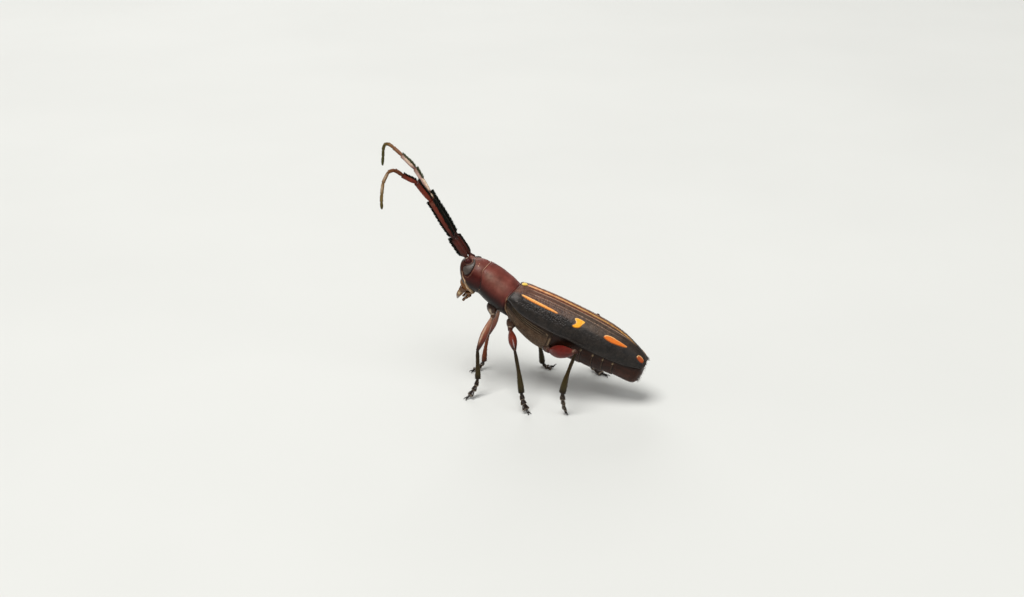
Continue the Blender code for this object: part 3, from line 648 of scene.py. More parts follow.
def wing_case(side, look):
    """One wing case with its ridges, rows of pits, raised spots, shoulder and blunt tip."""
    n, m_out = ((500, 158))
    u = np.linspace(0, 1, n)
    theta = 90 * np.linspace(0, 1, m_out)
    uu, th = np.meshgrid(u, theta, indexing="ij")
    start = -0.01 + base_edge(th)
    a = start + uu * (apex_reach(th) - start)
    top, half, low = elytra_top(a), elytra_half(a), elytra_margin(a)
    square = 1.80 + 0.12 * ease(a, 0.6, 2.6) + 0.16 * ease(a, 5.2, 7.4)
    x, k = oval(th, half, top - low, square)
    p = np.stack([np.maximum(x, 0.004), a, low + k], -1)
    nrm = normals(p, wrap=False)
    nrm *= np.sign(nrm[n // 2, m_out // 2].dot([1, 0, 1]))
    t, q = side_view(p)
    arc = np.concatenate([np.zeros((n, 1)), np.cumsum(np.linalg.norm(np.diff(p[..., [0, 2]], axis=1), axis=-1), 1)], 1)
    narrow = ease(a, 5.2, 7.4)

    h = np.zeros_like(a)
    # long ridges that run back from the base and close up towards the tip
    seam = arc / (1 - 0.35 * narrow)
    ridge_on = ease(a, 0.26, 0.50)
    ridge = ridge_on * np.clip(1.5 - np.abs(seam - 0.030) / 0.040, 0, 1) * ease(a, 7.4, 6.6) * (1 - 0.5 * ease(seam, 0.012, 0.0))
    h += 0.030 * bell(seam, 0.025, 0.045) * ridge_on * ease(a, 8.0, 7.2)
    second_at = 0.285 * (1 - 0.80 * ease(a, 5.4, 7.5))
    second = ease(a, 0.50, 1.0) * ease(a, 7.3, 6.2) * bell(arc, second_at, 0.024)
    h += 0.022 * ease(a, 0.45, 0.9) * ease(a, 7.6, 6.6) * bell(arc, second_at, 0.036)
    third_at = 0.57 * (1 - 0.62 * ease(a, 5.4, 7.7))
    h += 0.013 * ease(a, 0.8, 1.3) * ease(a, 7.4, 6.2) * bell(arc, third_at, 0.045)
    third = ease(a, 0.6, 1.0) * ease(a, 6.9, 5.0) * bell(arc, third_at, 0.022)
    fourth_at = 0.72 * (1 - 0.62 * ease(a, 5.4, 7.7))
    h += 0.010 * ease(a, 0.6, 1.0) * ease(a, 6.5, 4.5) * bell(arc, fourth_at, 0.035)
    third = np.maximum(third, 0.7 * ease(a, 0.6, 0.9) * ease(a, 4.6, 2.8) * bell(arc, fourth_at, 0.016))
    groove = ease(a, 0.40, 0.7) * ease(a, 6.6, 3.6) * np.clip(1.2 - np.abs(arc - 0.5 * (second_at + 0.07)) / (0.5 * second_at - 0.03), 0, 1)
    h -= 0.016 * groove
    # shoulder and its blunt keel
    h += 0.035 * bell(a, 0.36, 0.26) * bell(th, 66, 14)
    keel_q = -0.73 + 0.02 * t
    h += 0.024 * ease(t, -0.1, 0.3) * ease(t, 3.3, 2.2) * bell(q, keel_q, 0.085)
    # margin
    h += 0.020 * bell(th, 87.5, 1.6) - 0.012 * bell(th, 83.5, 1.8)
    # soft unevenness
    h += 0.006 * grain(p, 0.45, 3, 2)

    # raised spots
    spot, edge, tone, shine = np.zeros_like(a), np.zeros_like(a), np.zeros_like(a), np.zeros_like(a)
    for corners, height, hue in ((SHOULDER_STRIPE, 0.030, 0.02), (MIDDLE_SPOT, 0.026, 0.30),
                                 (REAR_SPOT, 0.026, 0.62), (TIP_SPOT, 0.022, 0.98)):
        d = outline_distance(t, q, corners) + 0.007 * grain(p, 0.11, 9)
        if corners is SHOULDER_STRIPE:
            d = d + 0.010 * ease(q, -0.50, -0.56) * np.sin(t * 52)
        s = ease(d, 0.014, -0.008)
        h += height * ease(d, 0.022, -0.050)
        spot = np.maximum(spot, s)
        mid_q = np.array(corners)[:, 1].mean()
        if corners is SHOULDER_STRIPE:
            mid_q = -0.40 - 0.085
        # edge: painted shade on each spot's lower side; shine: painted highlight on its upper side
        low_side = ease(q - mid_q, 0.02, -0.06)
        high_side = ease(q - mid_q, -0.04, 0.05) * (0.4 + 0.6 * ease(t - np.array(corners)[:, 0].mean(), 0.5, -0.4))
        edge = np.maximum(edge, s * ease(d, -0.050, -0.010) * low_side)
        shine = np.maximum(shine, s * ease(d, -0.060, -0.020) * high_side)
        tone = np.where(s > 0.01, hue + (0.14 * ease(t, 2.1, 2.6) if hue < 0.1 else 0), tone)

    # pits and bumps, with painted shade in the pits and painted glints on the bumps' tops
    pit_shade, rim = np.zeros_like(a), np.zeros_like(a)
    cell = 8.2 / n

    # a pit (depth above 0) or a bump (depth below 0): pit_shade paints shade in the pit, glint a highlight on the
    # bump's top
    def dent(a0, s0, radius, depth, long=1.0, glint=0.0):
        r0 = int(np.clip((a0 - a[:, 0].min()) / cell - 1, 0, n - 1))
        w = int(radius * long * 2.6 / cell) + 6
        lo, hi = max(r0 - w, 0), min(r0 + w, n)
        j0 = int(np.argmin(np.abs(arc[min(max(r0, 0), n - 1)] - s0)))
        v = int(radius * 2.6 / (arc[r0, -1] / m_out)) + 2
        jl, jh = max(j0 - v, 0), min(j0 + v + 1, m_out)
        if hi <= lo or jh <= jl:
            return
        d2 = ((a[lo:hi, jl:jh] - a0) / (radius * long)) ** 2 + ((arc[lo:hi, jl:jh] - s0) / radius) ** 2
        well = np.exp(-d2 * 1.3) * (1 - spot[lo:hi, jl:jh])
        h[lo:hi, jl:jh] -= depth * well
        if depth > 0:
            pit_shade[lo:hi, jl:jh] = np.maximum(pit_shade[lo:hi, jl:jh], well * min(depth / 0.022, 1.0))
        if glint:
            rim[lo:hi, jl:jh] = np.maximum(rim[lo:hi, jl:jh], glint * well**3)

    dice = np.random.default_rng(7)
    closing = curve(((0, 1.0), (5.2, 1.0), (6.6, 0.84), (7.5, 0.64), (8.2, 0.46)))
    # rows beside the ridges: fine pits, drawn out crosswise on the back like wrinkles
    for row, s_at in enumerate((0.165, 0.43, 0.66, 0.78, 0.92, 1.06)):
        at = 0.22 + 0.03 * row
        while at < 7.6:
            strong = 0.25 + 0.75 * float(ease(at, 4.6, 1.8))
            dent(at + dice.normal(0, 0.012), s_at * float(closing(at)) + dice.normal(0, 0.022),
                 (0.040 if row < 1 else 0.058) * dice.uniform(0.7, 1.25) * (0.6 + 0.4 * strong),
                 0.017 * strong * dice.uniform(0.5, 1.25), dice.uniform(0.42, 0.62))
            at += 0.088 * dice.uniform(0.7, 1.3)
    for s_at in (1.24, 1.42, 1.60, 1.80, 2.00, 2.20):
        at = 0.35
        while at < 7.8:
            strong = 0.25 + 0.75 * float(ease(at, 5.0, 2.0))
            dent(at + dice.normal(0, 0.02), s_at * float(closing(at)) + dice.normal(0, 0.02), 0.032 * dice.uniform(0.7, 1.2),
                 0.013 * strong * dice.uniform(0.3, 1.3), dice.uniform(0.8, 1.2))
            at += 0.135 * dice.uniform(0.75, 1.3)
    # coarse pits and bumps below the shoulder stripe, the bumps with painted glints
    for _ in range(230):
        a0 = dice.uniform(0.25, 3.3)
        s0 = 1.50 - 0.045 * a0 + dice.normal(0, 0.085 + 0.05 * float(ease(a0, 1.8, 2.8)))
        dent(a0, s0, 0.036 * dice.uniform(0.7, 1.3), 0.022 * dice.uniform(0.4, 1.3), dice.uniform(0.7, 1.2))
    for _ in range(150):
        a0 = dice.uniform(0.15, 3.2)
        s0 = 1.44 - 0.045 * a0 + dice.normal(0, 0.06 + 0.07 * float(ease(a0, 1.9, 2.8)))
        dent(a0, s0, 0.026 * dice.uniform(0.7, 1.3), -0.016 * dice.uniform(0.6, 1.3), dice.uniform(0.8, 1.5), 0.8 * dice.uniform(0.2, 1) ** 2)
    # scattered small grains over the back and side, with painted glints on their tops
    for _ in range(420):
        a0 = dice.uniform(0.5, 7.6)
        dent(a0, dice.uniform(0.35, 2.25) * float(closing(a0)), 0.013 * dice.uniform(0.7, 1.4), -0.006, 1.0, 0.55 * dice.uniform(0.1, 1) ** 2)
    for a0 in np.arange(3.7, 6.2, 0.155):
        dent(a0 + dice.normal(0, 0.03), 1.32 * float(closing(a0)) + dice.normal(0, 0.02), 0.018, -0.008, 1.2, 0.6 * dice.uniform(0.3, 1))
    # fine granules behind
    fine = grain(p, 0.055, 5) * 0.0045 + grain(p, 0.11, 6) * 0.004
    h += fine * (0.4 + 0.6 * ease(a, 1.5, 4.5)) * (1 - 0.7 * spot) * (1 - 0.6 * ridge)

    # edges roll under
    end = apex_reach(th)
    h -= 0.055 * ease(a, end - 0.16, end) ** 2 + 0.02 * ease(a, start + 0.06, start) ** 2
    base_lip = bell(a - start, 0.045, 0.022)
    h += 0.012 * base_lip - 0.010 * bell(a - start, 0.105, 0.022)
    out = p + nrm * h[..., None]
    out[..., 0] = np.maximum(out[..., 0], 0.003)

    # the inner face, thin and plain
    inner_t = np.array([89.0, 75, 60, 45, 30, 15, 4])
    cols = np.interp(inner_t, theta, np.arange(m_out)).astype(int)
    inner = p[:, cols] - nrm[:, cols] * 0.16
    inner[..., 0] = np.maximum(inner[..., 0], 0.008)
    inner[:, 0, 2] += 0.03
    ring = np.concatenate([out, inner], 1)
    m = ring.shape[1]

    def widen(v, fill=0.0):
        return np.concatenate([v, np.full((n, m - m_out), fill)], 1).ravel()

    back = ease(q, -0.62, -0.34) * (1 - 0.80 * ease(a, 5.6, 7.2))
    # shoulder: painted glints on the shoulder, along its keel, at its front and on its lower side
    shoulder = bell(a, 0.10, 0.16) * bell(th, 52, 11)
    keel_glints = ease(grain(p, 0.085, 21), 0.18, 0.62)
    shoulder = shoulder + 1.6 * keel_glints * bell(q, -0.645 - 0.012 * t, 0.030) * ease(t, 0.0, 0.15) * ease(t, 3.0, 2.2) * (1 - spot)
    shoulder = shoulder + 1.5 * ease(grain(p, 0.16, 23), -0.2, 0.4) * bell(q, -0.56 - 0.10 * t, 0.030) * ease(t, -0.20, -0.05) * ease(t, 0.42, 0.25)
    shoulder = shoulder + 1.4 * (bell(t, 0.22, 0.10) * bell(q, -0.93, 0.018) + bell(t, 0.46, 0.07) * bell(q, -0.90, 0.014))
    # rim: painted glints and highlights with a fine pale margin line; pit_shade, spot_shade, spot_highlight: painted
    # shade in pits, painted shade and highlight on spots
    marks = {"back": widen(back), "tail": widen(ease(a, 0.6, 4.6)), "pit_shade": widen(pit_shade),
             "rim": widen(np.clip(rim + 0.55 * bell(a - start, 0.035, 0.02) * bell(th, 74, 10) + 0.30 * shoulder
                                  + 0.50 * bell(th, 88.3, 0.7) * ease(a, 0.2, 0.5) * ease(a, 4.2, 2.2), 0, 1)),
             "ridge": widen(np.clip(ridge, 0, 1)), "line": widen(np.clip(second * 0.90 + third * 0.62 * (0.62 + 0.38 * np.sin(a * 40 + 3 * np.sin(a * 7))), 0, 1)),
             "groove": widen(np.clip(groove, 0, 1) * (0.55 + 0.45 * (1 - pit_shade)) * (1 - ridge)), "spot": widen(spot),
             "spot_shade": widen(edge), "tone": widen(tone), "spot_highlight": widen(shine)}
    verts = ring.reshape(-1, 3).copy()
    verts[:, 0] *= side
    faces = ring_faces(n, m, True, "flat")
    word = "left" if side > 0 else "right"
    mesh_object("wing_case_" + word, world(verts), faces, look, ("elytron_" + word,), marks, sharp=60)
    return dict(p=out, n=nrm, a=a, arc=arc, th=th, q=q, t=t, spot=spot)


elytra_look = look_elytra()
case_left = wing_case(1, elytra_look)
case_right = wing_case(-1, elytra_look)

# ------------------------------------------------------------------ trunk
thorax_bottom, thorax_half = curve(THORAX_BOTTOM), curve(THORAX_HALF_WIDTH)
abdomen_bottom, abdomen_half = curve(ABDOMEN_BOTTOM), curve(ABDOMEN_HALF_WIDTH)


def trunk(a_of, n, m, half, bottom, inner_drop=0.22):
    """Rings under the wing cases: angle 0 on top under them, 90 at their margin, 180 below. a_of(u, angle)."""
    u = np.linspace(0, 1, n)
    ang = np.concatenate([np.linspace(0, 84, 10), np.linspace(90, 270, m), np.linspace(276, 350, 9)])
    uu, th = np.meshgrid(u, ang, indexing="ij")
    fold = np.minimum(th, 360 - th)
    a = a_of(uu, fold)
    low = elytra_margin(a) - 0.02
    tall = elytra_top(a) - elytra_margin(a) - inner_drop
    wide_top = elytra_half(a) - inner_drop
    x1, k1 = oval(th, wide_top, tall, 2.1)
    x2, k2 = oval(th, half(a), low - bottom(a), 2.25)
    above = fold < 89.9
    x = np.where(above, x1, x2)
    k = np.where(above, k1, k2)
    p = np.stack([x, a, low + k], -1)
    nrm = normals(p)
    nrm *= np.sign(nrm[n // 2, len(ang) // 2].dot([0, 0, -1]))
    return p, nrm, uu, th, fold, a


def make_thorax():
    def a_of(u, fold):
        start = 0.0 + base_edge(fold)
        return start + u * (2.93 - start)

    p, nrm, uu, th, fold, a = trunk(a_of, 150, 190, thorax_half, thorax_bottom)
    below = fold >= 89.9
    h = 0.010 * grain(p, 0.5, 4, 2)
    # plates along the wing case's margin, the mid coxa's rim and the long middle seam
    seam = np.zeros_like(a)
    rim = np.zeros_like(a)
    pale = np.zeros_like(a)
    for i, (line, width) in enumerate(((92.6, 0.7), (95.6, 0.7), (99.2, 0.8))):
        at = line + (3 + i) * ease(a, 0.1, 2.6)
        on = ease(a, 0.12, 0.4) * ease(a, 2.75, 1.9)
        rim = np.maximum(rim, on * bell(fold, at, width))
        pale = np.maximum(pale, (0.42 - 0.09 * i) * on * bell(fold, at, width * 0.8))
        seam = np.maximum(seam, 0.75 * on * bell(fold, at + 1.9, 0.8))
    line2 = 118 + 10 * ease(a, 0.1, 1.0)
    seam = np.maximum(seam, 0.6 * bell(fold, line2, 1.2) * ease(a, 1.05, 0.85))
    rim = np.maximum(rim, 0.5 * bell(fold, line2 - 3.0, 1.2) * ease(a, 1.0, 0.8))
    pale = np.maximum(pale, 0.35 * bell(fold, line2 - 3.0, 1.0) * ease(a, 1.0, 0.8))
    cross_at = 0.42 + 0.35 * (fold - 95) / 60
    on = ease(fold, 104, 108) * ease(fold, 158, 146)
    seam = np.maximum(seam, 0.8 * bell(a, cross_at, 0.022) * on)
    rim = np.maximum(rim, 0.6 * bell(a, cross_at + 0.05, 0.022) * on)
    seam = np.maximum(seam, 0.8 * bell(np.abs(180 - fold), 0, 1.1) * ease(a, 1.0, 1.3))
    # the hind rim, and before it the pale step above the hind hip
    rim = np.maximum(rim, bell(a, 2.86, 0.035) * ease(fold, 92, 95))
    pale = np.maximum(pale, 0.55 * bell(a, 2.87, 0.026) * ease(fold, 99, 104) * ease(fold, 128, 118))
    pale = np.maximum(pale, 0.60 * bell(a, 2.60 + (fold - 97) * 0.02, 0.050) * bell(fold, 98, 1.6))
    seam = np.maximum(seam, 0.7 * bell(a, 2.77, 0.022) * ease(fold, 96, 100))
    h = h - 0.026 * seam + 0.024 * rim
    h += 0.05 * bell(a, 1.9, 0.9) * bell(fold, 150, 30)
    # shallow pits all over the breast
    dots = grain(p, 0.075, 8)
    h -= 0.006 * ease(dots, 0.25, 0.7)
    out = p + nrm * (h * below)[..., None]
    shade = np.clip(0.80 * ease(fold, 110, 98) + 0.45 * ease(a, 0.8, 0.1) + 0.85 * bell(a, 1.18, 0.10) * bell(fold, 146, 6), 0, 1)
    # seam: painted shade in the seams and grooves
    marks = {"seam": with_ends(seam * below), "rim": with_ends(pale * below), "shade": with_ends(shade)}
    mesh_object("breast", world(closed_rings(out)), ring_faces(*out.shape[:2]),
                look_under("breast_chitin", (72, 52, 36), (104, 80, 60), (32, 21, 14), 0.50, 0.0, 0.05),
                ("thorax",), marks)
    return dict(p=out, n=nrm, a=a, fold=fold, th=th)


STERNITES = (4.70, 5.42, 6.02, 6.60)


def make_abdomen():
    def a_of(u, fold):
        return 2.88 + u * (8.13 + 0.04 * bell(fold, 125, 40) - 2.88)

    p, nrm, uu, th, fold, a = trunk(a_of, 230, 150, abdomen_half, abdomen_bottom)
    below = fold >= 89.9
    h = 0.008 * grain(p, 0.4, 4, 2)
    seam, rim = np.zeros_like(a), np.zeros_like(a)
    for i, at in enumerate(STERNITES):
        edge = at + 0.20 * ease(fold, 92, 175)
        since = a - edge
        h -= 0.034 * ease(since, -0.015, 0.0) * np.exp(-np.maximum(since, 0) / 0.35)
        seam = np.maximum(seam, bell(since, 0.012, 0.020))
        rim = np.maximum(rim, 0.10 * bell(since, -0.030, 0.018))
        # the pale membrane at each seam's upper end
        rim = np.maximum(rim, (0.55, 0.8, 0.7, 0.9)[i] * bell(since, -0.03, 0.045) * bell(fold, 98, 2.4))
        h += 0.02 * bell(since, -0.03, 0.05) * bell(fold, 98, 3)
    line = 104 - 3 * ease(a, 3.2, 7.5)
    seam = np.maximum(seam, 0.45 * bell(fold, line, 1.0) * ease(a, 7.6, 6.6))
    dots = grain(p, 0.060, 8)
    h -= 0.005 * ease(dots, 0.25, 0.7)
    h -= 0.012 * seam
    out = p + nrm * (h * below)[..., None]
    # close the tail in a dome: the rings turn into ovals that grow ever smaller
    start, length, heart = 7.68, 0.55, -1.37
    across, up = out[..., 0], out[..., 2] - heart
    turned, reach = np.arctan2(across, up), np.hypot(across, up)
    oval_reach = 1 / np.hypot(np.sin(turned) / 0.755, np.cos(turned) / np.where(np.cos(turned) > 0, 0.62, 0.80))
    even = ease(a, 7.62, 8.05)
    smaller = np.sqrt(1 - np.clip((a - start) / length, 0, 0.999) ** 3)
    reach = (reach * (1 - even) + oval_reach * even) * smaller
    out = np.stack([reach * np.sin(turned), out[..., 1] * (1 - even) + a * even, heart + reach * np.cos(turned)], -1)
    shade = np.clip(0.8 * ease(fold, 100, 90) + 0.45 * ease(a, 6.9, 6.6) * bell(fold, 120, 22), 0, 1)
    shade = shade * (1 - 0.65 * even) + 0.22 * even * ease(fold, 150, 95)
    cap = []
    for share in (0.93, 0.85, 0.76, 0.66, 0.55, 0.44, 0.33, 0.22, 0.11):
        size = smaller[-1] * share
        cap.append(np.stack([oval_reach[-1] * size * np.sin(turned[-1]), start + length * (1 - size**2) ** (1 / 3),
                             heart + oval_reach[-1] * size * np.cos(turned[-1])], -1))
    whole = np.concatenate([out, np.array(cap)])

    def longer(v):
        return np.concatenate([v, np.repeat(v[-1:], len(cap), 0)])

    # seam: painted shade in the seams and the side groove
    marks = {"seam": with_ends(longer(seam * below)), "rim": with_ends(longer(rim * below)), "shade": with_ends(longer(shade))}
    mesh_object("belly", world(closed_rings(whole)), ring_faces(*whole.shape[:2]),
                look_under("belly_chitin", (42, 20, 10), (66, 32, 18), (18, 9, 5), 0.38, 0.10),
                ("abdomen",), marks)
    return dict(p=out, n=nrm, a=a, fold=fold, th=th)


breast = make_thorax()
belly = make_abdomen()

# ------------------------------------------------------------------ pronotum
pro_curves = [curve([(row[0], row[c]) for row in PROTHORAX]) for c in (1, 2, 3)]


def make_pronotum():
    n, m = 190, 260
    u = np.linspace(0, 1, n)
    ang = 360 * np.arange(m) / m
    uu, th = np.meshgrid(u, ang, indexing="ij")
    fold = np.minimum(th, 360 - th)
    flat = -1.99 + uu * 1.995
    k0, half, tall = (c(flat) for c in pro_curves)
    x, z = oval(th, half, tall, 2.1)
    behind = np.maximum(0, (flat + 0.9) / 0.87) ** 1.5
    ahead = np.maximum(0, (-1.25 - flat) / 0.65)
    a = flat + base_edge(fold) * behind + front_edge(fold) * ahead
    p = np.stack([x, a, k0 + z], -1)
    nrm = normals(p)
    nrm *= np.sign(nrm[n // 2, 0].dot([0, 0, 1]))
    from_front, from_back = uu * 2.01, (1 - uu) * 2.01
    h = 0.010 * grain(p, 0.55, 2, 2)
    rim, seam = np.zeros_like(a), np.zeros_like(a)
    # a fine raised lip in front, with a painted highlight on its upper half and painted shade along its seam, deeper on
    # the lower half
    h += 0.014 * bell(from_front, 0.035, 0.022) - 0.012 * bell(from_front, 0.085, 0.030)
    rim = np.maximum(rim, 0.55 * bell(from_front, 0.020, 0.011) * ease(fold, 66, 30))
    seam = np.maximum(seam, 0.70 * ease(from_front, 0.016, 0.0) + 0.75 * bell(from_front, 0.03, 0.035) * ease(fold, 48, 80))
    for at, size in ((112, 2.2), (120, 2.6)):
        rim = np.maximum(rim, 0.9 * bell(from_front, 0.02, 0.028) * bell(fold, at, size))
    # fine cross furrows before the hind edge, darkened with painted shade
    for at, deep in ((0.045, 0.016), (0.115, 0.020), (0.20, 0.010)):
        h -= deep * bell(from_back, at, 0.018)
        h += deep * 0.6 * bell(from_back, at + 0.034, 0.018)
        seam = np.maximum(seam, 0.55 * bell(from_back, at, 0.014) * (1.0 if at < 0.15 else 0.5))
    # painted highlights on the ridges between the furrows, on the upper flank; below them a thin pale rim along the
    # hind edge
    rim = np.maximum(rim, 0.75 * bell(from_back, 0.15, 0.011) * bell(fold, 66, 7))
    rim = np.maximum(rim, 0.70 * bell(from_back, 0.08, 0.011) * bell(fold, 70, 8))
    rim = np.maximum(rim, 0.60 * bell(from_back, 0.012, 0.014) * ease(fold, 76, 88) * ease(fold, 150, 120))
    # fine scattered pits
    dots = grain(p, 0.060, 8)
    h -= 0.003 * ease(dots, 0.10, 0.5)
    h -= 0.022 * ease(from_front, 0.03, 0.0) ** 2 + 0.06 * ease(from_back, 0.06, 0.0) ** 2
    out = p + nrm * h[..., None]
    height = (z / tall * 0.5 + 0.5)
    # painted sheen on the upper flank, broadest near the front
    painted_sheen = (0.55 * bell(fold, 50, 15) * bell(from_front, 0.30, 0.24)
            + 0.36 * bell(fold, 52, 20) * ease(from_front, 0.1, 0.6) * ease(from_back, 0.2, 0.7))
    marks = {"rim": with_ends(rim), "seam": with_ends(seam), "height": with_ends(height),
             "painted_sheen": with_ends(np.clip(painted_sheen, 0, 1))}
    mesh_object("pronotum", world(closed_rings(out)), ring_faces(n, m), look_pronotum("pronotum_chitin"),
                ("prothorax",), marks)
    return dict(p=out, n=nrm, fold=fold, th=th, uu=uu)


pronotum = make_pronotum()

# ------------------------------------------------------------------ head
head_curves = [curve([(i, row[c]) for i, row in enumerate(HEAD)]) for c in range(5)]


def head_point(station, angle):
    a, k, tilt, half, tall = (c(station) for c in head_curves)
    s, c = np.sin(np.radians(tilt)), np.cos(np.radians(tilt))
    x, z = oval(angle, half, tall, 2.15)
    fold = np.minimum(np.mod(angle, 360), 360 - np.mod(angle, 360))
    a = a + front_edge(fold) * np.maximum(1 - station, 0)
    return np.stack([x, a - s * z, k + c * z], -1)


def head_normal(station, angle):
    d = head_point(station + 0.03, angle) - head_point(station - 0.03, angle)
    r = head_point(station, angle + 2) - head_point(station, angle - 2)
    n = np.cross(d, r)
    return n / np.linalg.norm(n, axis=-1, keepdims=True)


def closed_mesh(name, verts, faces):
    me = bpy.data.meshes.new(name)
    me.from_pydata(np.asarray(verts).tolist(), [], faces)
    bm = bmesh.new()
    bm.from_mesh(me)
    bmesh.ops.recalc_face_normals(bm, faces=bm.faces)
    bm.to_mesh(me)
    bm.free()
    o = bpy.data.objects.new(name, me)
    bpy.context.scene.collection.objects.link(o)
    return o


def fused(name, pieces, voxel, smooth):
    """The union of closed pieces (millimetres) as one even skin, slightly softened: its points and faces."""
    obs = [closed_mesh(f"{name}_{i}", v, f) for i, (v, f) in enumerate(pieces)]
    bpy.ops.object.select_all(action="DESELECT")
    for o in obs:
        o.select_set(True)
    bpy.context.view_layer.objects.active = obs[0]
    bpy.ops.object.join()
    o = bpy.context.view_layer.objects.active
    m = o.modifiers.new("even", "REMESH")
    m.mode = "VOXEL"
    m.voxel_size = voxel
    s = o.modifiers.new("soften", "SMOOTH")
    s.factor = 0.5
    s.iterations = smooth
    dg = bpy.context.evaluated_depsgraph_get()
    e = o.evaluated_get(dg)
    me = e.to_mesh()
    v = np.empty(len(me.vertices) * 3)
    me.vertices.foreach_get("co", v)
    nv = np.empty(len(me.vertices) * 3)
    me.vertices.foreach_get("normal", nv)
    f = [list(poly.vertices) for poly in me.polygons]
    v, nv = v.reshape(-1, 3).copy(), nv.reshape(-1, 3).copy()
    e.to_mesh_clear()
    bpy.data.objects.remove(o, do_unlink=True)
    return v, nv, f


def ball(centre, radii, n=18, m=24, tilt=0.0):
    """A closed ellipsoid as rings, tilted about x."""
    t = np.linspace(4, 176, n)
    ang = 360 * np.arange(m) / m
    tt, aa = np.meshgrid(np.radians(t), np.radians(ang), indexing="ij")
    p = np.stack([radii[0] * np.sin(tt) * np.cos(aa), radii[1] * np.sin(tt) * np.sin(aa), radii[2] * np.cos(tt)], -1)
    c, s = math.cos(math.radians(tilt)), math.sin(math.radians(tilt))
    p = np.stack([p[..., 0], p[..., 1] * c - p[..., 2] * s, p[..., 1] * s + p[..., 2] * c], -1)
    return closed_rings(p + np.array(centre)), ring_faces(n, m)


def near_line(p, points, width):
    """How near points are to a line of points: 1 on it, falling off over width."""
    best = np.full(p.shape[:-1], 1e9)
    for p0, p1 in zip(points, points[1:]):
        p0, p1 = np.array(p0, float), np.array(p1, float)
        e = p1 - p0
        w = np.clip(((p - p0) @ e) / e.dot(e), 0, 1)
        best = np.minimum(best, np.linalg.norm(p - p0 - w[..., None] * e, axis=-1))
    return np.exp(-((best / width) ** 2)), best


